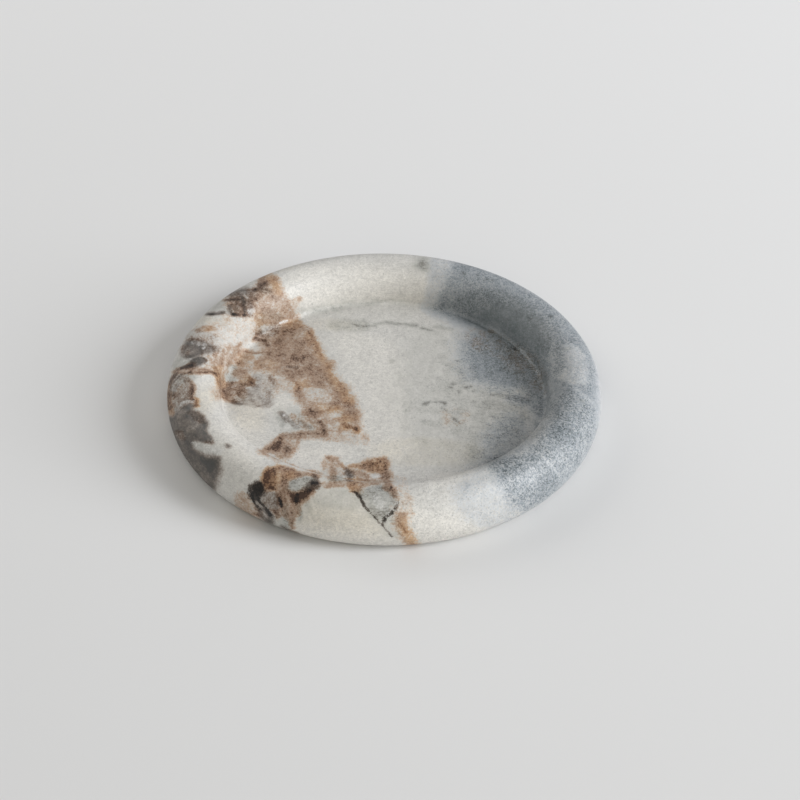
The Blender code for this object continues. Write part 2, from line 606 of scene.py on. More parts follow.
# The darkest slate line runs in the crease at the wall's foot: slate colour in part, painted shade in part.
slate.strokes(
    2.0,
    (0.86, [(21.6, 51.4, 1.4), (27.6, 48.4, 2.4), (35.4, 42.8, 2.8), (43.4, 34.8, 2.8), (49.2, 26, 2.8),
            (53.2, 17, 2.4), (55.4, 7, 1.8)]),
)
slate.patches(
    3.0,
    (0.64, [(61.6, 29), (66, 30), (69, 25), (70, 18), (69, 9), (66, 7), (63, 8), (59.6, 11), (60.6, 14),
            (62.4, 17)]),
    (0.54, [(41.6, -26.6), (46, -23), (50.6, -16.6), (52, -18.6), (50, -24.6), (47.6, -29), (44, -31)]),
    island=True,
)
slate.strokes(
    1.2,
    (0.66, [(58.6, 11.4, 0.8), (60.6, 12.8, 1.3), (63, 12.4, 1.2)]),
    (0.68, [(62, 15.4, 1.0), (64.6, 14.6, 1.6), (67, 14.6, 1.2)]),
    (0.58, [(64, 5.6, 0.8), (67, 2.4, 1.0), (70, -2, 1.0), (72.4, -7, 1.2), (73.4, -14, 1.2)]),
    (0.54, [(65, -17, 0.6), (66.6, -24, 0.8), (66, -30, 0.8)]),
    (0.56, [(49.6, -28.6, 0.6), (52.4, -33, 0.8), (55.6, -38.6, 0.9), (58, -43, 0.8)]),
    (0.52, [(52, -31, 0.5), (56.4, -35, 0.6)]),
    (0.50, [(58.2, 26, 0.6), (58.4, 18, 0.9), (57.6, 6, 0.8), (57.2, -2, 0.7)]),
    (0.60, [(66, 22, 0.8), (66.6, 12, 0.8)]),
    (0.45, [(44, -58, 0.9), (40.6, -50, 0.9)]),
    island=True,
)
slate.report()

# %% Where the slate's crystals stand apart as salt and pepper
pepper = Pigment("pepper")
pepper.patches(
    5.0,
    (0.84, [(52, -14), (57, -6), (60, 2), (67, 4), (72, -8), (70, -24), (62, -42), (52, -56), (42, -64),
            (38, -54), (35, -44), (35, -33), (42, -30), (48, -24)]),
    (0.62, [(50, 62), (54, 52), (57, 42), (58, 28), (60, 10), (68, 4), (74, 20), (70, 40), (62, 56),
            (54, 68)]),
    (0.45, [(21, 86), (20, 66), (19, 54), (28, 52), (40, 56), (50, 60), (44, 80)]),
    (0.40, [(4, -47), (20, -44), (34, -38), (37, -48), (38, -60), (24, -73), (8, -72)]),
    (0.35, [(22, 34), (24, 4), (34, 6), (50, 8), (52, 20), (40, 32)]),
    (0.46, [(26, 0), (40, 4), (52, 0), (53, -12), (45, -26), (34, -34), (24, -30), (22, -14)]),
)
pepper.spots(
    3.0,
    (0.45, 25, 4, 18, 12, 0), (0.40, 20, -8, 16, 12, 0), (0.40, -6, 42, 24, 5, 0), (0.4, 46, 22, 14, 16, 0),
)
pepper.report()

# %% [markdown]
# ## Rust, umber, grey and char
#
# On the left the block was once broken. Iron stained the pieces rust and umber, grey and black
# minerals filled the cracks, and islands of clean white were left between. These patches have real
# edges, so they get more corners and a harder edge than the slate. One pigment serves for tan, rust
# and umber alike: they are the same iron, thin to thick, and strength says which.

# %% Rust on the floor
rust = Pigment("rust")
rust.patches(
    1.6,
    (0.50, [(-38, 44), (-34.5, 45.4), (-31, 43.5), (-28.5, 40), (-26, 35), (-24.6, 30), (-23, 26),
            (-21.4, 21), (-19.8, 17), (-18.8, 12), (-16.6, 8), (-14.4, 4), (-12.2, 0), (-11, -4),
            (-9.8, -8), (-9.4, -13), (-8.4, -18), (-9, -21), (-12, -20.6), (-18, -20), (-20, -22.4),
            (-22, -20), (-24.4, -16.4), (-26.8, -12.6), (-26.4, -9), (-28.6, -6.4), (-30.6, -3), (-31.4, 1),
            (-31.4, 6), (-33.6, 9), (-36.6, 10.4), (-38.8, 13), (-42, 15.4), (-46, 14.6), (-47.6, 17),
            (-44.6, 20), (-43.6, 23), (-44, 27), (-45.6, 30), (-47.6, 31.5), (-47, 34), (-44, 35.4),
            (-41.6, 38)]),
)
rust.patches(
    2.2,
    (0.66, [(-37.5, 42), (-34, 43.6), (-30.6, 41), (-28.6, 36), (-26.4, 30), (-23.6, 25), (-21.4, 19),
            (-22.6, 15.6), (-28, 16), (-33, 17), (-39, 18), (-43, 21), (-43, 25), (-41, 29), (-41, 33),
            (-40, 38)]),
    (0.60, [(-20, 10), (-17, 7), (-14, 3), (-11.6, -4), (-10.4, -10), (-9.4, -18), (-12, -19), (-14.6, -14),
            (-14.4, -8), (-17, -3), (-19, 3)]),
    (0.78, [(-36.8, 12.6), (-35, 14.8), (-32.4, 14.2), (-30.8, 11.6), (-31.4, 9.6), (-33.6, 8.6),
            (-35.4, 10)]),
    (0.54, [(-27.6, -9), (-25, -7.4), (-22.4, -8), (-21.6, -10.6), (-23, -13.4), (-26, -13), (-27.4, -11)]),
)
rust.spots(
    4.0,
    (0.16, 49, 19, 5, 12, 20), (0.13, 38, 32, 10, 7, -40), (0.16, 24, -11.4, 3, 3, 0),
    (0.16, -54, 38, 8, 10, 0),
)
rust.strokes(
    1.1,
    (0.68, [(-28, 38, 1.8), (-26.4, 33, 1.4), (-25, 28, 1.6), (-22.6, 22, 2.0), (-20.4, 16, 1.6),
            (-18.8, 11, 1.8)]),
    (0.80, [(-46.6, 33, 1.8), (-44, 31.6, 2.2), (-42.4, 28.6, 1.8), (-41.4, 26, 1.2)]),
    (0.76, [(-50, 24.8, 0.8), (-47.4, 23.8, 1.2), (-45, 23.9, 0.8), (-42, 24.4, 1.4), (-39.6, 25, 1.2)]),
    (0.76, [(-30.8, 7, 1.4), (-30.2, 3, 1.6), (-29.8, -1, 1.8), (-29.2, -3.8, 1.0)]),
    (0.68, [(-16.4, -1, 2.4), (-14, -3, 3.0), (-12.4, -4.4, 1.6)]),
    (0.94, [(-24.4, -15.4, 1.2), (-22, -15.6, 1.8), (-20.6, -17.6, 2.2), (-20.4, -20.4, 1.8),
            (-21, -22.6, 1.0)]),
    (0.90, [(-14.6, -15.6, 2.0), (-12.4, -17.2, 3.2), (-10, -18.6, 2.8), (-8.8, -20, 1.2)]),
    (0.66, [(-23, -10, 1.6), (-18, -8, 2.2), (-14.6, -7.4, 2.0)]),
    (0.84, [(-26, -8, 1.6), (-24.4, -11, 2.4), (-22.4, -14, 2.2), (-20.8, -17.6, 2.6),
            (-20.4, -21.6, 2.0)]),
    (0.36, [(-31.4, -12, 1.0), (-28.6, -15, 1.6), (-26, -19, 1.6)]),
    (0.62, [(-17.4, -13.6, 1.4), (-14.6, -14.6, 2.0), (-12, -14, 1.6)]),
    (0.60, [(-42.6, 20.6, 1.4), (-46, 18, 1.4)]),
)
rust.spots(
    1.3,
    (0.88, -38.7, 31.2, 3.2, 5.4, 0), (0.74, -38, 26.5, 3.4, 3.6, 0), (0.84, -27.7, 36.6, 2.0, 3.0, 0),
    (0.74, -37, 22.6, 4.6, 2.8, 0), (0.76, -28.2, 21.6, 6.2, 4.8, 20), (0.76, -38.4, 19.4, 4.4, 2.0, 0),
    (0.74, -33, 21.4, 3.4, 2.4, 0), (0.72, -33.6, 38.6, 4.6, 3.4, 0), (0.74, -31, 26.4, 3.6, 2.6, 0),
    (0.84, -27.2, -11.2, 2.2, 1.6, 0), (0.80, -10.2, -6.8, 1.4, 1.2, 0), (0.78, -10, -10.8, 1.2, 1.8, 0),
    (0.62, -24, 7.2, 5.0, 2.4, 0), (0.80, -33.3, 9.8, 2.6, 1.6, 0),
)
rust.spots(
    1.5,
    (0.42, -31, 34.6, 4.0, 6.0, 0), (0.38, -27.6, 31, 2.0, 6.4, 14), (0.42, -37.4, 35, 4.4, 3.4, 0),
    (0.40, -34.4, 29, 3.0, 4.0, 0), (0.50, -31.4, 15.9, 5.0, 1.4, 0), (0.90, -28.6, 13.4, 4.6, 3.0, 0),
    (0.80, -22.3, 13.6, 2.8, 3.8, 0), (0.50, -25.6, 10.6, 3.0, 1.4, 0), (0.95, -16.8, -11.4, 4.6, 3.0, 0),
    (0.80, -21.4, -12.8, 2.2, 2.0, 0), (0.85, -18.6, -17.6, 3.0, 3.8, 0), (0.55, -15.6, -15.8, 1.4, 1.2, 0),
    (0.45, -12.4, -11, 1.8, 3.4, 0), (0.75, -45.6, 27.6, 4.4, 3.4, -10), (0.60, -46, 20.8, 3.8, 2.6, 0),
    (0.45, -24.6, 22.6, 1.6, 2.4, 0), (0.40, -41, 20.4, 2.0, 1.6, 0),
    island=True,
)
rust.patches(
    1.4,
    (0.72, [(-28.6, 3.6), (-26, 4.6), (-22, 3.6), (-19.2, 1.2), (-17.8, -2), (-18.4, -4.8), (-21, -4.8),
            (-25, -4), (-27.6, -2), (-28.8, 1)]),
    island=True,
)
rust.patches(
    2.4,
    (0.30, [(-24, -21), (-9, -21), (-7.4, -25), (-16, -24.4)]),
    (0.24, [(-40, 11), (-34, 9), (-31.4, 4), (-36, 2), (-40, 5)]),
    (0.28, [(-47.6, 18), (-43, 20), (-39, 17), (-37.6, 14), (-42, 13.4), (-47, 14)]),
    (0.24, [(-46, 40), (-40, 43), (-38, 48), (-44, 50), (-47, 46)]),
    (0.62, [(-29, 21), (-21, 21), (-18, 12), (-13, 3), (-10, -6), (-9, -18), (-12, -19), (-15, -12),
            (-17, -3), (-21, 8), (-27, 11), (-33, 10), (-35, 15)]),
    (0.54, [(-56, 4), (-52, 6), (-49.6, 3), (-50.4, -1), (-54, -3), (-56.4, -1)]),
    (0.22, [(-41, 0), (-38, 1), (-37, 8), (-41, 8)]),
)
rust.report()

# %% The hook and the clot at the floor's front
rust.patches(
    1.4,
    (0.60, [(-33.4, -22.2), (-36, -24.2), (-38.6, -28), (-40.2, -30.4), (-37.4, -32), (-34.6, -34.4),
            (-32, -34.6), (-30.2, -31), (-28.6, -27), (-28, -24.8), (-24, -24), (-20.4, -23.4),
            (-18.8, -21.6), (-23, -19.8), (-28.6, -20.8)]),
    (1.0, [(-34, -23.4), (-37, -25.8), (-39.8, -29.6), (-38.6, -31.4), (-35.6, -32), (-33.6, -30),
           (-33.2, -26.6)]),
    (0.68, [(-7.4, -36.6), (-4.6, -34.6), (-1.8, -33.8), (0.6, -33.6), (1.8, -36), (1.9, -41), (2.0, -44.6),
            (-1.6, -44.8), (-1.6, -42), (-4, -41.2), (-6.2, -40), (-8.2, -39.2)]),
    (0.66, [(-12, -45), (-8.8, -44.6), (-5.8, -45), (-6.2, -47.6), (-8, -50), (-9.6, -49), (-11, -47)]),
    (0.32, [(-19.6, -36), (-17, -37), (-14, -37.6), (-12, -41), (-15, -42.6), (-18, -42)]),
)
rust.strokes(
    1.1,
    (0.92, [(-34.2, -23, 1.6), (-33, -23, 1.8), (-31.6, -24.2, 1.2)]),
    (0.80, [(-30.4, -24.6, 1.0), (-29.2, -26.4, 1.4), (-30, -28.6, 0.9)]),
    (0.97, [(-33, -27, 1.2), (-32.4, -29, 1.8), (-32.4, -31.4, 1.8), (-33, -34, 1.2)]),
    (0.90, [(-35.6, -25.6, 1.2), (-37, -28, 1.6), (-38.4, -30, 1.4)]),
    (0.74, [(-28.6, -21.8, 1.6), (-25.6, -21.6, 2.0), (-22.6, -21.8, 1.8)]),
    (0.74, [(-18.4, -33.8, 1.6), (-16.6, -35, 2.0), (-15.4, -34, 1.4)]),
    (0.95, [(-17.4, -35, 1.3), (-16.6, -37, 1.5), (-15.6, -38.6, 1.0)]),
    (0.78, [(-15.4, -35.6, 1.0), (-14.4, -37.4, 1.2), (-13, -39.4, 1.2)]),
    (0.62, [(-16.8, -39, 1.6), (-16.4, -42.6, 2.4)]),
    (0.50, [(-10.4, -41, 2.4), (-8.4, -42, 2.6), (-6, -43.4, 2.0)]),
    (0.70, [(-11, -38.6, 1.2), (-8.6, -38, 1.6), (-6.6, -37.6, 2.0)]),
    (0.76, [(0.8, -37, 2.0), (0.9, -41, 2.0), (0.9, -44.4, 2.0)]),
    (0.50, [(-21, -45.6, 1.2), (-16, -46, 2.0), (-12, -45.6, 1.6)]),
    (0.56, [(-6, -45.4, 1.2), (-2, -45.2, 0.9), (2, -46, 1.4)]),
)
rust.spots(1.4, (0.78, -3.6, -37.4, 4.6, 3.4, 0), (0.76, -4, -39.8, 3.0, 1.8, 0))
rust.spots(
    1.2,
    (0.60, -30.2, -25.6, 1.6, 1.6, 0), (0.66, -35, -32.6, 1.6, 1.4, 0), (0.50, -26.4, -23, 2.2, 1.0, 0),
    (0.45, -3.4, -35.4, 1.0, 1.4, 0),
    island=True,
)
rust.report()

# %% Rust on the front rim
rust.patches(
    1.0,
    (0.95, [(-37, -38.4), (-35.2, -37.8), (-33.2, -38.2), (-32.4, -40.6), (-32.4, -45), (-32.8, -49),
            (-35.4, -49.8), (-37.6, -48.4), (-38.6, -45.6), (-37.8, -41.4)]),
    (0.74, [(-34, -37.4), (-31, -37.8), (-27.6, -39.6), (-25, -41.6), (-27.6, -43.2), (-30, -44.6),
            (-30.2, -49), (-30.8, -54), (-32.6, -55), (-33, -48), (-34, -44)]),
    (1.25, [(-31, -48.4), (-28.6, -50), (-25.6, -49.6), (-23.8, -47.8), (-21.6, -48), (-22, -51),
            (-23.4, -54.2), (-25.6, -56.6), (-28.4, -56.4), (-30, -53)]),
    (0.12, [(-38, -50.6), (-34, -50.2), (-32.4, -53), (-32.8, -60), (-35.6, -60.4), (-38, -57),
            (-39.4, -54)]),
    (0.52, [(-31.8, -54), (-29, -55.6), (-26, -57), (-26.6, -61), (-29, -64), (-31.4, -62)]),
)
rust.patches(2.0, (0.36, [(-45.4, -52.6), (-42.6, -54), (-41, -58), (-38.6, -63), (-42, -66), (-47, -58)]))
rust.strokes(
    0.9,
    (0.98, [(-37.4, -40, 0.8), (-37.6, -43, 1.4), (-37.4, -45.6, 1.4)]),
    (1.15, [(-36.8, -46.8, 1.6), (-35, -47.8, 2.8), (-33.2, -48.4, 2.2)]),
    (0.80, [(-31.6, -47, 1.4), (-31.2, -51, 1.8), (-30.8, -55, 1.4)]),
    (0.80, [(-38.6, -50, 1.4), (-36.8, -49.6, 0.9)]),
    (0.98, [(-32.4, -53.4, 0.9), (-32, -56, 1.5), (-31.5, -58.4, 1.3), (-32.2, -60.4, 0.8)]),
    (1.0, [(-35.4, -59.8, 1.0), (-33.8, -60.8, 2.4), (-32.8, -62.6, 1.6), (-33.4, -64, 0.9)]),
    (0.84, [(-33, -50, 0.8), (-32.8, -53, 0.6)]),
    (0.82, [(-28.5, -55.4, 1.8), (-28, -58, 1.2), (-28.7, -61, 1.2), (-28.4, -63.4, 1.4),
            (-28.8, -66.4, 1.0), (-28.3, -69, 0.8)]),
    (0.48, [(-27.4, -40.6, 1.0), (-23.4, -41.4, 1.3), (-20.6, -42.8, 1.3)]),
    (0.60, [(-22.4, -45.6, 1.0), (-21.2, -46.4, 1.6), (-23.4, -48.8, 1.2)]),
    (0.92, [(2.2, -46.4, 1.2), (2.8, -48.4, 1.9), (3.2, -50.6, 1.4), (3.7, -52.4, 0.8)]),
    (0.60, [(0.8, -46.4, 1.6), (1.6, -48.6, 1.0)]),
    (0.94, [(5.8, -65, 1.0), (6.5, -67.4, 2.2), (7.2, -70.4, 1.4)]),
    (0.88, [(-41.2, -62, 1.4), (-39.4, -63, 1.8)]),
    (0.56, [(-44.8, -54.6, 1.2), (-43.6, -56.4, 1.2)]),
)
rust.strokes(
    2.0,
    (0.50, [(5.4, -60, 1.2), (6, -64.6, 3.0), (6.4, -69, 3.6), (8.4, -73, 3.0), (9.8, -76, 2.4)]),
    (0.14, [(4.6, -46, 3.0), (5.4, -52, 3.6), (6, -60, 4.0)]),
)
rust.strokes(0.9, (0.36, [(-33, -40, 0.5), (-32.8, -44, 0.6), (-32.6, -47.6, 0.5)]), island=True)
rust.report()

# %% Rust at the back
rust.patches(
    2.0,
    (0.55, [(-45, 74), (-42, 71), (-40.2, 67), (-38.8, 63), (-37.4, 59), (-36, 55.4), (-34.2, 51),
            (-32.6, 46), (-38, 43), (-41, 42), (-46.6, 42), (-47, 50), (-47.6, 57), (-46.6, 63),
            (-46, 70)]),
    (0.30, [(-58, 57), (-50, 57), (-49, 46), (-54, 46)]),
)
rust.strokes(
    1.2,
    (0.50, [(-42.6, 70, 1.6), (-42, 66, 2.2), (-41.6, 62.4, 1.8), (-39.4, 59.6, 1.0)]),
    (0.48, [(-43.6, 58, 1.2), (-43, 52, 1.4), (-43.6, 47, 1.2)]),
    (0.52, [(-46.6, 47.4, 1.0), (-45.6, 44, 1.2), (-46, 40.6, 1.4), (-46.4, 36, 1.4)]),
    (0.56, [(-39.6, 49.6, 0.9), (-39.2, 46.4, 1.0), (-38.4, 44.6, 0.7)]),
    (0.50, [(-39, 50, 1.2), (-36, 49.8, 1.4), (-34.6, 47, 1.2)]),
    (0.30, [(-33.8, 52.8, 1.0), (-33, 55.4, 1.4), (-31.8, 57.6, 1.0)]),
    (0.86, [(-44.6, 65.4, 1.6), (-45.4, 63.6, 2.0), (-47, 61.6, 1.6), (-50, 61, 1.2)]),
    (0.68, [(-58.4, 54.6, 0.8), (-56, 54.8, 1.4), (-53.4, 54.8, 1.2)]),
    (0.72, [(-48.6, 56, 1.0), (-47.6, 53, 1.6), (-46.6, 50.6, 1.2)]),
    (0.86, [(-52.6, 45.6, 1.6), (-51, 45.4, 2.0), (-49.8, 45.8, 1.2)]),
    (0.60, [(-51, 51, 1.2), (-51.2, 47.6, 1.2)]),
    (0.44, [(-49.6, 60, 1.0), (-48.6, 56, 1.2), (-49, 52, 0.8)]),
)
rust.strokes(
    0.9,
    (0.55, [(-48.6, 49, 1.4), (-47.6, 47, 1.2)]),
    (0.45, [(-45.4, 60.6, 2.4), (-43.6, 60.4, 1.4)]),
    (0.30, [(-41, 56, 1.0), (-40.6, 49, 1.2)]),
    (0.30, [(-44.8, 56, 0.8), (-45, 49, 0.8)]),
    island=True,
)
rust.report()

# %% Rust on the left wall and rim
rust.patches(
    1.6,
    (0.46, [(-52.6, 24.6), (-50, 25.2), (-48, 24), (-47.4, 21), (-48.4, 18.6), (-50.4, 16.4), (-52.6, 17),
            (-53.2, 20)]),
    (0.54, [(-53, 13.6), (-51.4, 15), (-49.8, 14.4), (-48.6, 12), (-48.2, 10), (-46.8, 8.4), (-46, 6.6),
            (-47, 5.2), (-48.8, 4.6), (-50.6, 5), (-51, 7.6), (-51.6, 9.6), (-52.8, 10.8)]),
    (0.22, [(-62, 26), (-56.4, 27), (-56, 16), (-57, 11), (-60, 12.6)]),
    (0.20, [(-67, 36), (-61, 36), (-59, 31), (-66, 30)]),
    (0.22, [(-73.4, 4), (-70, 8), (-66, 6), (-65, -4), (-70, -9), (-73, -5)]),
)
rust.strokes(
    1.0,
    (0.46, [(-66.8, 34.2, 1.2), (-65.2, 36.2, 1.8), (-63.4, 37, 2.2), (-61.6, 36.8, 2.2),
            (-60.2, 35.8, 1.4)]),
    (0.70, [(-62.9, 36.4, 1.0), (-61.9, 36, 1.4)]),
    (0.94, [(-72.2, 11.4, 1.6), (-70.8, 12.4, 1.8), (-69, 13.2, 1.9), (-67.4, 14, 2.0), (-66, 15.4, 2.2)]),
    (0.60, [(-68, 13, 0.8), (-65, 13.2, 1.0), (-62, 12.9, 0.9), (-60, 12.4, 0.9)]),
    (0.90, [(-71.4, 10.6, 1.2), (-69, 10.7, 1.5), (-67, 10.9, 1.4), (-65.6, 11.5, 1.8), (-64, 11.1, 1.4),
            (-62, 11.4, 1.5), (-60, 11.9, 1.5), (-58.6, 11, 1.6), (-57.8, 9.8, 1.2)]),
    (0.86, [(-68.7, 12.6, 0.8), (-68.4, 10.6, 0.9)]),
    (0.90, [(-65.8, 13.2, 0.8), (-65.5, 10.6, 1.0)]),
    (0.46, [(-59.4, 26, 0.7), (-59, 21, 0.9), (-58.2, 16, 0.9), (-57.6, 12, 0.8)]),
    (0.50, [(-61, 20.4, 0.7), (-59.8, 17, 0.9), (-58.2, 13, 0.9)]),
    (0.70, [(-58, 15, 0.7), (-57.4, 11, 0.9), (-57, 7, 1.0), (-56.6, 3, 0.8), (-56.2, -1.6, 0.7)]),
    (0.44, [(-56.6, 25, 0.6), (-57, 19, 0.6), (-57.2, 14, 0.6)]),
    (0.50, [(-52, 29, 0.8), (-53, 26.6, 1.0), (-53.6, 23, 1.1), (-54.6, 19.6, 0.8), (-55, 16, 0.6)]),
    (0.36, [(-54.6, 28, 0.6), (-54.9, 24, 0.7), (-55.6, 19, 0.6)]),
    (0.84, [(-49.6, 24.4, 0.8), (-48.2, 23.8, 1.4), (-47.2, 23.6, 0.9)]),
    (0.95, [(-52.2, 17.7, 1.0), (-51.2, 17.6, 1.5), (-50.4, 17.9, 0.9)]),
    (0.62, [(-52.6, 23.6, 1.0), (-51.6, 22, 1.0), (-49.4, 21, 1.2), (-48.6, 19.4, 1.0)]),
    (0.74, [(-49.8, 14, 0.8), (-49.4, 11.6, 1.0), (-48.4, 9.8, 1.0), (-47.4, 7.4, 2.2), (-47, 5.6, 1.4)]),
    (0.70, [(-51.2, 13.4, 0.8), (-52.6, 11.2, 1.0)]),
    (0.82, [(-50.4, 6.4, 1.0), (-49.8, 3.6, 1.2), (-50.2, 1.2, 1.0)]),
    (0.66, [(-55.6, 4.6, 1.2), (-53.8, 6, 1.4), (-51.2, 6, 1.4), (-49.8, 4.6, 1.2), (-49.6, 2, 1.2),
            (-50.6, -0.2, 1.4), (-52.6, -1.2, 1.4), (-54.8, -1.2, 1.4), (-56.2, 0.6, 1.6),
            (-55.8, 2.8, 1.8)]),
    (0.86, [(-55.2, -0.8, 1.0), (-53.4, -1.3, 0.9)]),
    (0.74, [(-56.4, -1.8, 0.8), (-55, -3, 1.1), (-53.4, -3.9, 1.1), (-52.4, -4.5, 0.8)]),
    (0.95, [(-67.2, 6.4, 0.8), (-65.6, 6.3, 1.2), (-64.8, 4.4, 1.6), (-64.5, 0, 1.8), (-63.8, -3.4, 1.9),
            (-63.4, -5.4, 1.2)]),
    (0.56, [(-71.8, 9.6, 1.0), (-73, 5.6, 1.2), (-73.6, 1, 1.6), (-73, -4, 2.0), (-72, -9, 2.6),
            (-71.4, -12, 1.8)]),
    (0.80, [(-72.6, -5, 0.9), (-71.8, -8.4, 1.8), (-71.4, -11, 1.2)]),
    (0.44, [(-68.4, 4, 0.8), (-69.8, 1, 0.9), (-70.6, -3.6, 0.8)]),
    (0.86, [(-62.5, -4.2, 1.6), (-62.3, -7.4, 1.6)]),
    (0.50, [(-63.4, -11, 1.8), (-61.6, -13, 2.4), (-60.4, -15.6, 1.4)]),
    (0.74, [(-57.4, -26.2, 1.0), (-55.8, -26.6, 1.2)]),
    (0.34, [(-69.6, 25, 2.4), (-68.8, 22, 2.4)]),
    (0.60, [(-68.4, 29.8, 0.9), (-66.8, 30.2, 1.0), (-65, 29.8, 0.8)]),
    (0.40, [(-68, -22, 2.4), (-66.6, -24.6, 2.0)]),
)
rust.report()

# %% Ochre, the brighter iron
ochre = Pigment("ochre")
ochre.strokes(
    1.6,
    (0.70, [(-28, 37, 2.0), (-25.5, 30, 1.8), (-22.6, 22, 2.4), (-19.5, 13, 2.4), (-15, 3, 3.4),
            (-12, -3, 3.4)]),
    (0.95, [(-14, -17.4, 2.6), (-10, -18.6, 2.8), (-9, -20, 1.8)]),
    (0.95, [(6.2, -62, 1.4), (6.8, -67, 2.6), (8.4, -72, 3.4), (10.4, -76, 3.4)]),
    (0.60, [(-42.5, 71, 2.0), (-41, 66, 2.6), (-39, 60, 2.2)]),
    (0.85, [(-62.4, -4, 1.8), (-62.3, -7.6, 1.6)]),
    (0.60, [(-72.8, 4, 1.6), (-73, -3, 2.0), (-71.8, -11, 1.8)]),
    (0.60, [(-57.8, 14, 0.9), (-56.8, 4, 1.0)]),
)
ochre.spots(
    2.0,
    (0.70, -62.2, 36.4, 2.4, 2.4, 0), (0.75, -30, 5, 5, 3, 0), (0.70, -48, 7.5, 3.5, 4, 0),
    (0.65, -2.6, -37.6, 7, 7, 0), (0.70, -9, -38.4, 4, 2, 0), (0.85, -35.4, -42.4, 7, 11, 0),
    (0.80, -29.6, -41.5, 4, 4, 0), (0.70, -9, -47, 4, 4, 0), (0.30, -43, 16, 7, 4.4, 0),
    (0.60, -19, -8, 6, 3, 0), (0.60, -13, -13, 5, 3, 0), (0.50, -45.6, 43, 3, 6, 0),
    (0.30, -50, 20, 4, 6, 0), (0.45, -34, 42, 5, 4, 0),
)
ochre.report()

# %% [markdown]
# The rest of the minerals are drawn the same way: a translucent grey in the gaps, the soft dark
# char that fills the left edge, black ink along the cracks, and the few bright threads over all. The
# grey also paints the shade in the crease along the back wall's foot.

# %% Mist, a translucent grey, and painted shade along the back wall's foot
mist = Pigment("mist")
mist.patches(
    1.4,
    (0.69, [(-6.8, -48.4), (-3, -46.6), (1.6, -47), (3.2, -49), (4, -52), (4.4, -56), (3.6, -59),
            (1, -61.4), (-0.6, -64.6), (-2.6, -61.4), (-4.6, -57), (-6, -53.6), (-8.4, -50)]),
    (0.56, [(-36, -65), (-33.6, -62.6), (-30, -63.4), (-29.4, -68), (-31, -70), (-35, -68)]),
    (0.70, [(-30.4, -48.6), (-29.6, -45), (-27, -43.2), (-23.6, -42.6), (-22, -43.6), (-23, -47),
            (-25, -49.8), (-28, -50.6)]),
    (0.36, [(-60.5, 56), (-56, 59), (-52, 61), (-50, 58), (-52, 50), (-57, 47), (-60, 50)]),
    (0.44, [(-73, 16), (-70, 19.6), (-66, 20.4), (-64, 18), (-68, 14.8), (-72, 13)]),
    (0.40, [(-70.6, 7), (-69, 9.4), (-66, 9.9), (-64.4, 8.8), (-65, 7), (-68, 6.4)]),
)
mist.patches(
    2.4,
    (0.26, [(-36.6, -9.4), (-34, -9), (-31, -10.4), (-27, -13.6), (-22.6, -16.6), (-22, -21), (-28, -22),
            (-33, -21.4), (-34.4, -16), (-36.4, -13)]),
    (0.26, [(-64, 50), (-60, 56), (-56, 60), (-52, 62), (-56, 52), (-60, 47)]),
    (0.36, [(-45, 36), (-40, 42), (-40, 48), (-44, 46)]),
    (0.40, [(1, -62), (3.4, -60), (4.6, -64), (4, -70), (2.4, -71), (1, -67)]),
    (0.34, [(-18.6, 44), (-9, 44.4), (-7, 41), (-12, 39), (-18, 40.6)]),
    (0.76, [(11.6, 84), (14.2, 84), (15.6, 81), (14.8, 76.4), (12.4, 76), (11.2, 79)]),
    (0.30, [(-22, -48), (-12, -49), (-8, -53), (-10, -57), (-20, -55)]),
)
mist.patches(
    12.0,
    (0.20, [(20, 30), (30, 12), (52, 2), (54, -10), (44, -26), (32, -32), (22, -26), (14, -12), (12, 8)]),
)
mist.patches(
    8.0,
    (0.36, [(27, 20), (31, 10), (40, 5), (52, 2), (54, -12), (45, -28), (34, -36), (29, -30), (25, -14),
            (23, 4)]),
)
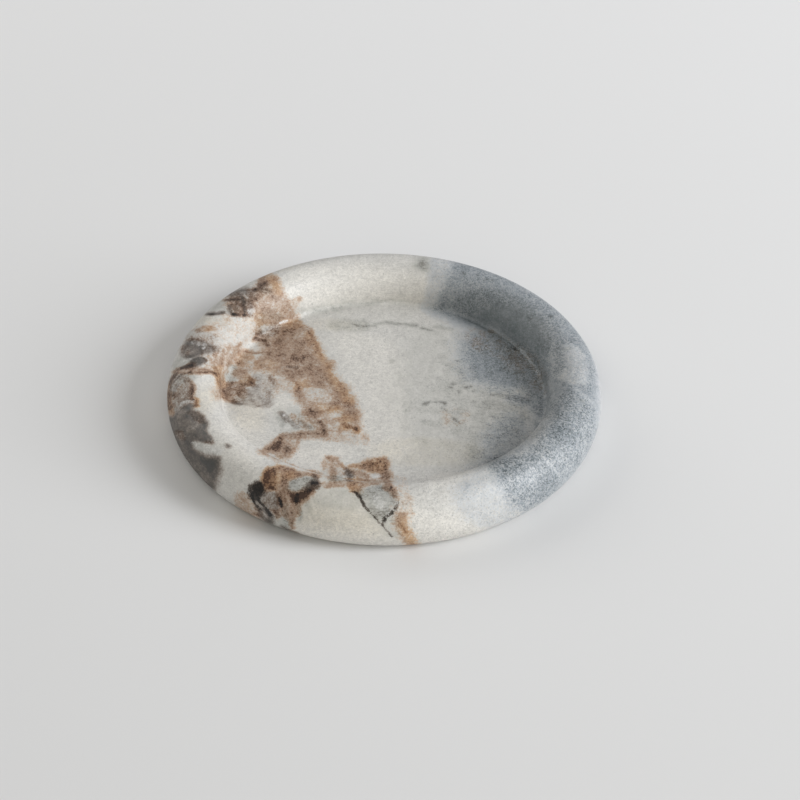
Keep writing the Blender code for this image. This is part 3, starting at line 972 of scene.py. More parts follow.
mist.strokes(
    1.0,
    (0.72, [(-17.4, 41.4, 0.8), (-14.6, 40.4, 1.6), (-12.4, 40.6, 1.0)]),
    (0.80, [(-12.6, 43, 0.8), (-10.6, 42.2, 1.6), (-9, 41.3, 1.2), (-6.4, 41.4, 0.8), (-4, 42, 1.0)]),
    (0.56, [(-4, 43, 1.0), (0, 43.8, 1.4), (4, 43.4, 1.2), (10, 42.8, 1.4)]),
    (0.70, [(6.6, 43.6, 1.0), (9.4, 42.2, 1.8), (11.4, 42.4, 1.2)]),
    (0.92, [(13.6, 40.8, 1.0), (15.6, 39.9, 1.6), (17.4, 39.4, 0.9)]),
    (0.42, [(18, 42, 1.0), (24, 40.4, 1.4)]),
    (1.15, [(15.8, -3.4, 1.4), (14.4, -4.2, 2.2)]),
    (0.80, [(17, -3.2, 1.2), (19.4, -3, 1.6)]),
    (1.15, [(20, -3.2, 1.6), (20.8, -3.4, 2.2), (21.4, -4.6, 1.4)]),
    (1.05, [(20, -6.4, 1.2), (21.4, -7.6, 1.8), (22.4, -8.8, 1.2)]),
    (1.15, [(23.2, -11, 1.2), (24.4, -12.4, 2.0), (25.2, -13.8, 1.8)]),
    (0.56, [(-36.6, -13, 1.0), (-34, -14.6, 1.2), (-35, -18, 1.0)]),
    (0.60, [(-28.6, -15, 1.6), (-25, -18.6, 2.4)]),
    (0.70, [(2.6, -50.6, 0.9), (3.8, -54, 1.4), (3.6, -59, 1.4)]),
    (0.74, [(-25.4, -43, 0.7), (-24.4, -46.6, 1.0)]),
    (0.70, [(-28.6, -45.4, 0.7), (-28.4, -49, 0.7)]),
    (0.56, [(-30.6, -56, 0.9), (-30.8, -60, 1.1), (-30.4, -64, 0.8)]),
    (0.50, [(-26.6, -56.6, 0.9), (-26, -61, 0.9), (-26.2, -65, 0.6)]),
    (0.42, [(-24.2, -53, 0.8), (-23.4, -57, 0.7), (-23, -60, 0.5)]),
    (0.45, [(-62, -27.6, 1.6), (-58, -30, 2.6), (-54, -31.4, 2.4)]),
    # painted shade: a darker line in the crease along the back wall's foot
    (0.50, [(-26, 50.4, 0.8), (-22, 51.8, 1.0), (-15, 54.2, 1.4), (-8, 56.4, 1.4), (0, 57.6, 1.0)]),
    (0.52, [(30, -4.6, 0.8), (34, -6, 1.4), (38, -5.4, 0.8)]),
    (0.56, [(36, -9, 0.8), (42, -10, 1.2), (47, -11.4, 0.8)]),
    (0.56, [(43, 0, 1.0), (47, -1.6, 1.6), (50, -1, 1.0)]),
)
mist.strokes(
    2.0,
    # painted shade, wider and fainter, in the crease along the back wall's foot
    (0.36, [(-30, 50, 1.5), (-22, 52.4, 2.5), (-12, 55.2, 2.5), (-4, 57.2, 2.0)]),
    (0.60, [(38, 1.4, 2.0), (46, -0.6, 3.0), (51, -1, 2.0)]),
    (0.56, [(30, -2.6, 1.4), (36, -3, 3.0), (44, -4.4, 2.4)]),
    (0.54, [(31, -4.6, 1.2), (38, -7, 2.6), (45, -6, 1.6)]),
    (0.50, [(36, -10.4, 1.2), (43, -11.6, 2.2), (50, -11, 1.2)]),
    (0.48, [(33, -17, 2.0), (40, -17, 3.0), (45, -18.4, 1.6)]),
    (0.52, [(35, -21.6, 2.4), (42, -21.4, 3.0)]),
    (0.56, [(35, -25.4, 2.4), (41, -25, 3.0)]),
    (0.48, [(31, -30, 1.6), (37, -28.6, 2.6)]),
    # painted shade in the crease along the back wall's foot, on its right
    (0.36, [(2, 57.4, 1.0), (12, 55.6, 1.2), (20, 53, 1.0)]),
    (0.34, [(14, -14.4, 1.0), (22, -16, 1.6), (30, -14.6, 1.0)]),
    (0.34, [(8, -7, 0.8), (16, -8.6, 1.4), (22, -8, 1.0)]),
    (0.36, [(16, 2, 1.0), (24, 0.6, 1.6), (34, 2, 1.2)]),
)
mist.spots(
    1.0,
    (1.20, 24.4, 7.6, 2.8, 2.4, 0), (1.1, 23.4, 5.2, 2.2, 1.8, 0), (1.20, 28.6, 5.2, 3.4, 1.8, 10),
    (1.15, 26.2, 3.2, 2.6, 1.9, 0), (0.90, 30, 6.4, 1.8, 1.8, 0), (0.90, 31, 3.6, 1.5, 1.5, 0),
    (0.92, 27.8, 12.8, 1.6, 1.9, 0), (0.60, 25.6, 21.4, 1.2, 1.2, 0), (0.70, 26.8, 9, 1.2, 1.0, 0),
    (0.50, 33, -5, 2.4, 1.6, 0), (0.50, 18, -1.4, 2.0, 1.0, 0), (0.90, -35, -11.5, 1.8, 1.9, 0),
    (0.60, -32.6, -12.6, 1.4, 1.2, 0), (0.80, -34.4, -14.2, 1.6, 1.4, 0), (0.50, 7.4, -8.4, 1.8, 1.2, 0),
    (0.55, 2.4, 20, 1.0, 1.4, 0), (0.70, -21.8, 51.8, 0.9, 1.8, 0), (0.50, -44, 60.6, 3.0, 2.4, 0),
    (0.60, -15.4, -44, 3.4, 1.4, 0), (0.45, -54.4, 9.6, 3, 6, 0), (0.45, -54, 14.6, 2, 3, 0),
    (0.60, 28.4, 74, 1.2, 1.4, 0), (0.60, 33.4, 73, 1.2, 1.4, 0), (0.62, 38, 70, 3.0, 1.2, 0),
    (0.70, 47, 29, 4.0, 2.4, 30), (0.60, 52, 46, 1.0, 1.4, 0), (0.66, 59, 46.6, 1.6, 2.0, 0),
    (0.60, 66, -1.4, 2.0, 1.2, 0), (0.50, 63, 27.6, 2.4, 1.2, 0),
)
mist.report()

# %% Char
char = Pigment("char")
char.patches(
    1.2,
    (0.81, [(-70.6, -13.4), (-69.4, -10.4), (-68.3, -8.4), (-66.5, -6.6), (-64.5, -5.8), (-62.8, -7),
            (-63.3, -9), (-61.6, -10.4), (-60, -11.8), (-59, -14.4), (-58, -17), (-58.3, -19.6),
            (-57.6, -22), (-56.6, -24.4), (-55.2, -25.8), (-55.4, -27.4), (-58, -26.8), (-60.6, -25.8),
            (-62.2, -26.6), (-61.9, -29.6), (-60, -31.6), (-58.5, -33), (-56.5, -34), (-54.5, -34),
            (-52.6, -33.4), (-52.4, -37), (-52.9, -42), (-54.3, -47), (-57, -54), (-66, -46), (-74, -32),
            (-80, -18), (-76, -13), (-73, -13.4)]),
)
char.patches(
    2.0,
    (1.50, [(-64.6, -28), (-62.4, -31), (-59, -33.6), (-53.2, -34.4), (-53, -41), (-55.2, -50), (-60, -48),
            (-65, -40), (-68, -31)]),
    (0.94, [(-67, -24), (-62.6, -25), (-62.6, -29), (-67.6, -30)]),
    (0.74, [(-70, 27), (-68.4, 30.4), (-66, 30.6), (-63.4, 29.4), (-61, 27.4), (-59, 26), (-59.2, 23.4),
            (-62, 21.4), (-65, 20.4), (-68, 19.4), (-70.6, 22)]),
    (0.30, [(-69, 34), (-63, 34), (-60, 30), (-64, 28), (-69, 29)]),
    (0.40, [(-54, 61), (-50, 62), (-47.4, 60), (-48, 54), (-48.6, 49), (-49, 45.6), (-53, 45), (-53.6, 50),
            (-53.4, 56)]),
    (0.60, [(-57.4, 58.4), (-54.6, 60.8), (-50, 62.2), (-47, 62.4), (-45.6, 65.4), (-43.6, 65.8),
            (-43.4, 64), (-45, 61.6), (-47.6, 59.8), (-50.4, 58.4), (-54.6, 56.6)]),
    (0.30, [(-48.4, 8), (-44, 10.4), (-39.8, 8), (-39.6, 0), (-40, -5.8), (-43, -6.6), (-47, -5.8),
            (-50, -5), (-52, -3.4), (-50, -1), (-48.6, 3)]),
    (0.30, [(-54.6, 5), (-51, 5), (-50.6, 1), (-54.6, 0)]),
    (0.42, [(-46.4, 35), (-42, 38.6), (-39.4, 41), (-41, 35)]),
    (0.38, [(-73, 6), (-70, 8), (-66, 5.6), (-65, 0), (-64.6, -5), (-70, -8), (-73, -6)]),
)
char.patches(
    1.0,
    (0.90, [(-40, -46.4), (-38.4, -45.8), (-37.8, -49), (-38.4, -52), (-39, -55), (-37.8, -58),
            (-36, -60.6), (-35, -63), (-37, -63.6), (-39, -60.4), (-40.6, -57), (-41.6, -54), (-42, -50.6),
            (-41, -48)]),
    (0.66, [(-38.4, -60), (-36, -60), (-34.6, -63.4), (-35.2, -66.4), (-38, -65.6), (-39.4, -62.6)]),
)
char.patches(
    1.2,
    (0.48, [(-38, -51), (-34, -50.6), (-32.6, -54), (-33, -60), (-35.6, -60.4), (-38, -57), (-39.2, -54)]),
)
char.patches(
    0.9,
    (0.74, [(-65.8, 19), (-63, 19.8), (-61.6, 18), (-62.4, 16), (-64, 14.6), (-66, 13.6), (-68.4, 13.4),
            (-69.4, 14.2), (-67, 15.8)]),
    (0.90, [(-23, -44), (-21, -43.6), (-19.8, -45.4), (-20.4, -47.6), (-22.4, -49.6), (-24.4, -50.8),
            (-24.8, -48.4), (-24, -46)]),
)
char.strokes(
    1.0,
    (0.96, [(-59.6, -15.6, 1.8), (-58.8, -18, 2.2), (-59.2, -20.4, 2.4), (-57.8, -23, 2.2),
            (-56.4, -25, 1.6)]),
    (0.90, [(-63, -21.4, 1.4), (-60.4, -24.4, 1.8)]),
    (0.90, [(-65.2, -6.6, 1.6), (-64.4, -9, 2.0), (-62.6, -12.6, 1.2)]),
    (0.84, [(-71.6, -14, 1.8), (-70.8, -18, 2.0)]),
    (0.84, [(-52.8, 58.6, 1.0), (-52, 56, 1.6), (-51.3, 53.4, 1.6), (-50.8, 51, 1.4), (-50.4, 49, 1.5),
            (-50.5, 46, 1.2)]),
    (0.74, [(-45, 64.8, 1.4), (-46.6, 62, 1.8), (-48.2, 60.6, 1.8), (-50.4, 61, 1.4), (-53.4, 60.6, 1.4)]),
    (0.54, [(-49.2, 58, 1.2), (-49.2, 54, 1.4), (-48.6, 50.6, 1.0)]),
    (0.66, [(-57.6, 54.4, 0.8), (-55, 54.8, 1.2), (-52.6, 54.6, 1.0)]),
    (0.76, [(-56.3, 50.8, 0.8), (-55.8, 48.4, 1.2), (-55.6, 46.6, 1.4), (-54, 45.5, 2.0),
            (-52.6, 45.3, 1.2)]),
    (0.78, [(-64, 45.6, 1.2), (-62.2, 45.5, 1.9), (-60, 45.9, 1.4), (-58.2, 46.7, 1.2)]),
    (0.62, [(-56.8, 57.8, 0.9), (-55.6, 57.8, 1.2)]),
    (0.72, [(-67, 26.6, 2.2), (-66.4, 24.6, 2.2)]),
    (0.76, [(-61, 25.4, 1.4), (-60, 24, 2.0)]),
    (0.70, [(-65, 22.6, 1.2), (-62.6, 22.4, 1.6)]),
    (0.66, [(-69.6, 20.4, 1.2), (-67, 20.4, 1.0), (-64, 21, 0.9)]),
    (0.64, [(-68.2, 30, 0.7), (-67.3, 28.8, 0.9), (-67.4, 27, 0.8)]),
    (0.50, [(-71.5, 10, 1.0), (-72.9, 6, 1.2), (-73.6, 1, 1.2), (-73.6, -4, 1.4), (-72.8, -9, 1.0)]),
    (0.68, [(-69.6, 9.8, 0.7), (-71, 7, 0.9), (-72.2, 3.4, 0.9), (-72.6, 0, 0.7)]),
    (0.60, [(-67.6, 6, 0.8), (-69.8, 4.6, 1.0), (-71.2, 2, 1.0), (-71.6, -2, 0.8)]),
    (0.60, [(-69.8, -9.6, 0.8), (-68.4, -6.8, 1.0), (-66.4, -4.6, 0.9), (-64.6, -4, 0.8)]),
    (0.60, [(-52.6, -4.6, 0.8), (-51, -5.6, 0.8), (-49.4, -5.9, 0.7)]),
    (0.46, [(-46.8, -3.2, 1.2), (-45.8, -4, 0.9)]),
    (0.46, [(-40.4, 3, 0.7), (-40.3, -4.6, 0.9), (-41.4, -6.2, 0.9), (-44, -6.5, 0.8)]),
    (0.40, [(-44.4, 5, 0.8), (-43.8, -2.4, 1.0)]),
    (0.42, [(-35.6, -10.6, 1.4), (-34.6, -12.4, 2.0), (-33.4, -14.6, 1.4)]),
    (0.36, [(-31.6, -15.4, 0.9), (-29.4, -17.6, 1.2)]),
    (0.42, [(-47.6, 2.4, 0.9), (-46.8, -1.4, 0.9)]),
    (0.44, [(-47, 32.6, 1.0), (-44, 31.6, 1.4), (-42.6, 29, 1.2)]),
    (0.50, [(-34.6, 15.8, 1.0), (-31.4, 15.6, 1.2)]),
    (0.45, [(-32.5, -28.8, 1.0), (-32.3, -31, 1.2)]),
    (0.76, [(-12.6, -39.6, 1.2), (-11.6, -41.4, 2.2), (-10.6, -43.6, 1.8)]),
    (0.66, [(-21.9, -42.6, 0.9), (-20.8, -44, 0.9)]),
    (0.72, [(-39.4, -59, 2.0), (-37.8, -62.6, 3.0), (-36, -66, 3.0)]),
    (0.78, [(-31.8, -68.6, 1.2), (-29.6, -70, 1.4), (-27, -71.6, 1.0)]),
    (0.84, [(-50.8, -27.4, 0.8), (-50, -28.4, 1.1)]),
    (0.50, [(-59, -31.8, 0.5), (-58, -32.8, 0.5), (-56, -32.4, 0.6), (-54.4, -33, 0.5)]),
)
char.spots(
    1.4,
    (0.34, -66.4, -17, 7.0, 4.6, 0), (0.36, -63.4, -19, 3.8, 3.8, 0), (0.34, -68.4, -22.6, 3.4, 5.0, 20),
    (0.40, -67, -12, 2.4, 3.4, -30), (0.24, -60.6, -38, 1.4, 12, 30), (0.30, -57.4, -46, 1.6, 4, 30),
    (0.40, -62, -16.6, 1.6, 2.4, 0), (0.45, -64.4, 28, 1.6, 2.4, 0), (0.45, -67.2, 22.4, 2.6, 1.4, 0),
    (0.24, -64.6, -34, 1.2, 9, 30),
    island=True,
)
char.strokes(
    0.7,
    (0.50, [(-70.2, -12.6, 0.5), (-68.8, -9.4, 0.6), (-67, -7, 0.6), (-65, -5.6, 0.5)]),
    (0.36, [(-68.6, -13.4, 0.5), (-67.4, -10.4, 0.6), (-65.8, -9, 0.5)]),
    (0.55, [(-68.4, -5.6, 0.5), (-67, -3.4, 0.7), (-65.4, -2.6, 0.5)]),
    (0.45, [(-70.4, 2, 0.6), (-70.8, -3, 0.7)]),
    (0.50, [(-41.4, -49.4, 0.4), (-40.4, -52, 0.5), (-40.2, -55, 0.4), (-39, -58, 0.4)]),
    (0.55, [(-39.4, -50.8, 0.3), (-38.8, -53.4, 0.4)]),
    (0.50, [(-40.6, -56.6, 0.4), (-38.6, -60.6, 0.5), (-36.8, -63.4, 0.5)]),
    island=True,
)
char.report()

# %% Ink
ink = Pigment("ink")
ink.patches(
    1.4,
    (0.62, [(-40.4, -45.8), (-38.6, -45.6), (-37.9, -48), (-38.1, -51), (-39, -52.6), (-40, -54.4),
            (-41.6, -54), (-42.4, -51), (-41.6, -48)]),
)
ink.strokes(
    0.5,
    (0.70, [(-41.5, -53, 0.8), (-41, -56, 0.7), (-40, -58.4, 0.6), (-38.8, -60.4, 0.5)]),
    (0.76, [(-39.6, -52.6, 0.7), (-39.2, -55.6, 0.7), (-37.8, -58, 0.8), (-36.5, -60.6, 0.8),
            (-35.4, -63, 0.7)]),
    (0.60, [(-32.4, -53.4, 0.4), (-32, -56.4, 0.7), (-31.6, -58.4, 0.5)]),
    (0.62, [(-9.4, -49.2, 0.4), (-8, -50.4, 0.6), (-6.8, -52.6, 0.5)]),
    (0.90, [(-6.8, -52.6, 0.5), (-6.2, -54.4, 0.8), (-5.4, -56.6, 0.4)]),
    (0.45, [(-5.4, -56.6, 0.2), (-3.4, -60, 0.3), (-2, -62.2, 0.3), (-0.6, -65, 0.4), (0.2, -66.4, 0.3)]),
    (0.35, [(0.2, -66.4, 0.3), (1.4, -69, 0.3), (2.8, -72.4, 0.2)]),
    (1.0, [(0.5, -61.6, 0.8), (0.7, -63, 1.3), (0.2, -64.6, 0.7)]),
    (0.78, [(3.5, -58.2, 0.4), (3, -59.8, 0.9), (1.8, -60.8, 0.8), (0.9, -61.6, 0.6)]),
    (0.34, [(4.5, -54.4, 0.4), (4.3, -57, 0.6), (3.7, -59, 0.5)]),
    (0.50, [(-26.6, -51.6, 1.0), (-26.8, -54, 1.2), (-27.4, -55.8, 0.8)]),
    (0.50, [(-22.2, -45.4, 0.8), (-20.8, -45.6, 0.9)]),
    (0.52, [(-63, 45.5, 0.6), (-61.6, 45.5, 0.9)]),
    (0.52, [(-54.6, 45.6, 1.0), (-53.6, 45.4, 1.0)]),
)
ink.strokes(
    0.6,
    (0.20, [(-42, -48.6, 0.5), (-41, -52, 0.5), (-40.4, -55, 0.4), (-39, -58, 0.4)]),
    (0.25, [(-39.4, -50.4, 0.3), (-38.8, -53.4, 0.4)]),
    island=True,
)
ink.report()

# %% Bright threads and clean crystals
pale = Pigment("pale")
pale.patches(
    1.0,
    (0.55, [(-62, -26.6), (-58, -27.6), (-54, -28.6), (-52, -30), (-52.2, -32), (-54.5, -32.8),
            (-57.5, -31.6), (-60.5, -29.4)]),
)
pale.strokes(
    0.7,
    (0.55, [(-68.6, -7.6, 0.6), (-67.2, -5.2, 0.8), (-65, -4.6, 0.8), (-63.6, -5.2, 0.5)]),
    (0.50, [(-30, 49.4, 0.9), (-29, 48, 0.8)]),
    (0.66, [(-38.6, 42.4, 0.8), (-36.4, 44, 1.1)]),
    (0.40, [(-70, 17, 0.8), (-68.2, 18, 1.0), (-66.6, 18.8, 0.7)]),
    (0.40, [(-65.4, 28.6, 0.7), (-64.8, 26.8, 0.9)]),
    (0.36, [(-62.8, 27, 0.5), (-62.6, 24.6, 0.6)]),
)
pale.spots(
    0.7,
    (0.8, -34.2, -11.8, 0.8, 0.9, 0), (0.45, -67, 28, 1.0, 1.4, 0), (0.5, -48.3, 48, 1.4, 2.0, 0),
    (0.5, -2.6, -43, 2.4, 1.4, 0), (0.35, -1.2, -54, 3.2, 6.0, 10),
)
pale.report()

# %% Store every pigment on the stone
for pigment in (cream, snow, slate, pepper, mist, char, rust, ochre, ink, pale):
    pigment.store(stone.data)
print("stored:", [name for name in stone.data.attributes.keys() if not name.startswith(".")])

# %% [markdown]
# ## The marble's finish
#
# The stone is honed: ground smooth and left without a polish, so its gloss is a wide, soft sheen and
# every crystal shows in colour more than in relief. The finish is built in three scales. The levels
# stored above say where a pigment lies to about a millimetre. A node group tears their edges with
# noise. Another group breaks the surface into crystals, each a little lighter or darker than its
# neighbour, and picks out the dark ones that pepper the slate and the light ones, which are pale
# crystals in part and painted glints of light in part. Streaks of fine bedding lie across them all.

# %% Node groups for the stone
VECTOR = "NodeSocketVector"
FIBRE_LENGTH = 2.2  # how much longer the stone's fibres are along the dip than across it
BEDDING = (2.6 * MM, 0.55 * MM, 0.55 * MM)  # the fine bedding lies in short streaks from left to right
CLOUD_TEAR, FIBRE_TEAR = 1.4, 0.95  # how far clouds and fibres move a level
FIBRE_SIZE = 0.16  # as a share of the clouds' size


def noise_term(tree, place, size, detail=3.0, roughness=0.6, warp=0.0):
    """A cloudy noise around 0, from about -0.5 to 0.5, with clouds of a size in mm."""
    scale = 1 / size if isinstance(size, float) else math_node(tree, "DIVIDE", 1.0, size)
    inputs = {"Vector": place, "Scale": scale, "Detail": detail, "Roughness": roughness, "Distortion": warp}
    return (term(tree, "ShaderNodeTexNoise", inputs) - 0.5) * 2.0


def span(tree, value, low, high, low_out=0.0, high_out=1.0, smooth=False):
    """A value mapped from one range to another and kept inside it."""
    return term(
        tree,
        "ShaderNodeMapRange",
        {"Value": value, "From Min": low, "From Max": high, "To Min": low_out, "To Max": high_out},
        interpolation_type="SMOOTHSTEP" if smooth else "LINEAR",
    )


def ragged_patch_group():
    """How much a pigment covers, from its stored level, a noise that tears it and the crystals' shade."""
    tree, given, out = new_tree(
        "ShaderNodeTree",
        "ragged patch",
        {
            "Level": (FACTOR, 0.0),
            "Place": (VECTOR, None),
            "Size": (LENGTH, 1.0),
            "Tear": (FACTOR, 1.0),
            "Crystal": (FACTOR, 0.5),
            "Soak": (FACTOR, 0.0),
        },
        {"Cover": FACTOR},
    )
    clouds = noise_term(tree, given["Place"], given["Size"], detail=6.0, roughness=0.68, warp=0.25)
    fibres = noise_term(tree, given["Place"], given["Size"] * FIBRE_SIZE, roughness=0.75)
    torn = (clouds * CLOUD_TEAR + fibres * FIBRE_TEAR) * given["Tear"]
    soaked = (given["Crystal"] - 0.5) * given["Soak"]
    feed(tree, out.inputs[0], span(tree, given["Level"] + torn + soaked, -1.0, 1.0))
    return tree


def crystals_group():
    """Irregular crystals of one size: a shade from 0 to 1 for each, and masks of dark and light ones."""
    tree, given, out = new_tree(
        "ShaderNodeTree",
        "crystals",
        {"Place": (VECTOR, None), "Size": (LENGTH, 1.0), "Dark": (FACTOR, 0.0), "Bright": (FACTOR, 0.0)},
        {"Shade": FACTOR, "Dark": FACTOR, "Bright": FACTOR},
    )
    scale = math_node(tree, "DIVIDE", 1.0, given["Size"])
    bending = {"Vector": given["Place"], "Scale": scale * 1.3, "Detail": 2.0}
    bend = term(tree, "ShaderNodeTexNoise", bending, output=1)
    bent = term(
        tree,
        "ShaderNodeVectorMath",
        {0: bend, 1: (0.7, 0.7, 0.7), 2: given["Place"]},
        operation="MULTIPLY_ADD",
    )
    cells = add_node(tree, "ShaderNodeTexVoronoi", {"Vector": bent, "Scale": scale})
    chance = add_node(tree, "ShaderNodeSeparateColor", {0: Term(tree, cells.outputs["Color"])})
    shade, dark, bright = (Term(tree, socket) for socket in chance.outputs)
    inner = span(tree, Term(tree, cells.outputs["Distance"]), 0.75, 0.35, smooth=True)
    feed(tree, out.inputs["Shade"], shade)
    feed(tree, out.inputs["Dark"], inner * math_node(tree, "LESS_THAN", dark, given["Dark"]))
    # The light crystals are pale crystals in part and painted glints of light in part.
    feed(tree, out.inputs["Bright"], inner * math_node(tree, "LESS_THAN", bright, given["Bright"]))
    return tree


ragged_patch = ragged_patch_group()
crystals = crystals_group()
print("node groups:", ragged_patch.name, "and", crystals.name)


# %% Short names for the nodes that mix colour
def ramp(tree, value, stops):
    """A colour ramp. Stops are (place, red, green, blue)."""
    node = add_node(tree, "ShaderNodeValToRGB", {"Fac": value})
    elements = node.color_ramp.elements
    while len(elements) < len(stops):
        elements.new(0.5)
    for element, (place, *colour) in zip(elements, stops):
        element.position = place
        element.color = (*colour, 1.0)
    return Term(tree, node.outputs["Color"])


def blend(tree, factor, under, over, kind="MIX"):
    """One colour laid over another."""
    node = add_node(tree, "ShaderNodeMix", data_type="RGBA", blend_type=kind)
    for socket, value in zip((node.inputs[0], node.inputs[6], node.inputs[7]), (factor, under, over)):
        feed(tree, socket, value)
    return Term(tree, node.outputs[2])


def stored(tree, name):
    """A level that a pigment stored on the mesh."""
    return term(tree, "ShaderNodeAttribute", attribute_name=name, output="Fac")


def shader_of(material):
    """A material's node tree and its shader, ready to be filled."""
    material.use_nodes = True
    return material.node_tree, material.node_tree.nodes["Principled BSDF"]


def object_places(tree):
    """Places on the finished piece, in its own coordinates."""
    return Term(tree, tree.nodes.new("ShaderNodeTexCoord").outputs["Object"])


def bump(tree, shader, strength, height):
    """Lets a relief, as a height in mm, tilt the shading."""
    relief = term(tree, "ShaderNodeBump", {"Strength": strength, "Distance": MM, "Height": height})
    feed(tree, shader.inputs["Normal"], relief)


# %% Colours of the pigments
GROUND = (0.592, 0.580, 0.550, 1.0)
CLEAR = (0.05, 1.0, 1.0, 1.0)  # a cover that leaves all of the ground's colour
STAINS = {
    # name: size of the tearing in mm, tear, soak into the crystals, and for some covers what the pigment
    # leaves of the ground's red, green and blue
    "cream": (8.0, 0.6, 0.3, (CLEAR, (0.95, 1.02, 0.985, 0.915))),
    "snow": (6.0, 0.35, 0.4, (CLEAR, (0.95, 1.17, 1.155, 1.135))),
    "slate": (
        7.0, 0.28, 0.3,
        (CLEAR, (0.25, 0.885, 0.915, 0.965), (0.45, 0.665, 0.715, 0.790), (0.62, 0.468, 0.522, 0.592),
         (0.80, 0.252, 0.302, 0.343), (1.0, 0.128, 0.160, 0.183)),
    ),
    "mist": (
        4.0, 0.9, 0.9,
        (CLEAR, (0.30, 0.890, 0.895, 0.885), (0.55, 0.730, 0.740, 0.730), (0.80, 0.500, 0.505, 0.495),
         (1.0, 0.300, 0.290, 0.270)),
    ),
    "rust": (
        4.5, 0.95, 0.85,
        (CLEAR, (0.18, 0.955, 0.905, 0.865), (0.34, 0.820, 0.695, 0.605), (0.50, 0.680, 0.515, 0.410),
         (0.64, 0.570, 0.405, 0.305), (0.78, 0.415, 0.270, 0.190), (0.90, 0.240, 0.135, 0.088),
         (1.0, 0.095, 0.048, 0.030)),
    ),
    "char": (
        4.5, 0.66, 0.6,
        (CLEAR, (0.22, 0.850, 0.825, 0.810), (0.40, 0.590, 0.545, 0.520), (0.60, 0.345, 0.300, 0.275),
         (0.80, 0.190, 0.170, 0.158), (1.0, 0.112, 0.111, 0.110)),
    ),
    "ink": (
        1.8, 1.0, 0.6,
        ((0.10, 1.0, 1.0, 1.0), (0.35, 0.300, 0.260, 0.240), (0.60, 0.060, 0.050, 0.040),
         (1.0, 0.014, 0.010, 0.008)),
    ),
}
OCHRE_TINT = (1.14, 1.0, 0.78, 1.0)
DARK_TINT = (0.58, 0.59, 0.60, 1.0)
# The colour that light crystals are mixed towards: pale crystals in part, painted glints of light in part.
BRIGHT_AND_GLINT = (0.70, 0.705, 0.71, 1.0)
PALE = (0.630, 0.622, 0.605, 1.0)
print("stains, from the lowest:", list(STAINS))


# %% Crystals, clouds and bedding of the marble
COARSE_CRYSTAL, FINE_CRYSTAL = 1.1, 0.38  # sizes in mm
COARSE_SHARE = 0.35  # of a crystal's shade, and the fine ones give the rest
# Shares of dark crystals, and of light ones that are pale crystals in part and painted glints in part.
DARK_SHARE, BRIGHT_AND_GLINT_SHARE = 0.02, 0.015  # of the fine crystals, where nothing peppers them
DARK_PEPPER, BRIGHT_AND_GLINT_PEPPER = 0.30, 0.12  # and what full pepper adds


def marble_terms(tree):
    """What the finish is mixed from, as named terms."""
    objects = object_places(tree)
    fibres = {"Rotation": (math.pi / 2 - DIP, 0.0, 0.0), "Scale": (MM, MM, MM * FIBRE_LENGTH)}
    place = term(tree, "ShaderNodeMapping", {"Vector": objects, **fibres}, vector_type="TEXTURE")
    lying = term(tree, "ShaderNodeMapping", {"Vector": objects, "Scale": BEDDING}, vector_type="TEXTURE")

    def crystal_layer(size, dark, bright):
        """The shade of each crystal of one size, and its masks of dark and light ones."""
        given = {"Place": place, "Size": size, "Dark": dark, "Bright": bright}
        node = add_node(tree, "ShaderNodeGroup", given, node_tree=crystals)
        return [Term(tree, node.outputs[name]) for name in ("Shade", "Dark", "Bright")]

    pepper = span(tree, stored(tree, "pepper") + noise_term(tree, place, 4.0), -1.0, 1.0)
    coarse = crystal_layer(COARSE_CRYSTAL, 0.0, 0.0)[0]
    # The light fine crystals are pale crystals in part and painted glints of light in part.
    fine, dark, bright = crystal_layer(
        FINE_CRYSTAL, pepper * DARK_PEPPER + DARK_SHARE, pepper * BRIGHT_AND_GLINT_PEPPER + BRIGHT_AND_GLINT_SHARE
    )
    return SimpleNamespace(
        place=place,
        height=Term(tree, add_node(tree, "ShaderNodeSeparateXYZ", {0: objects}).outputs["Z"]),
        pepper=pepper,
        fine=fine,
        dark=dark,
        bright=bright,
        crystal=coarse * COARSE_SHARE + fine * (1 - COARSE_SHARE),
        clouds=noise_term(tree, place, 9.0, detail=5.0),
        bedding=noise_term(tree, lying, 0.8, roughness=0.75),
    )


# %% The marble's colour
PALE_TEARING = (2.5, 0.8, 1.2)  # size, tear and soak of the bright threads, as for the stains
CRYSTAL_GRAIN, BEDDING_GRAIN = 0.30, 0.24  # how far each makes the colour lighter or darker
CLOUD_GRAIN, SPECK_GRAIN = 0.09, 0.10


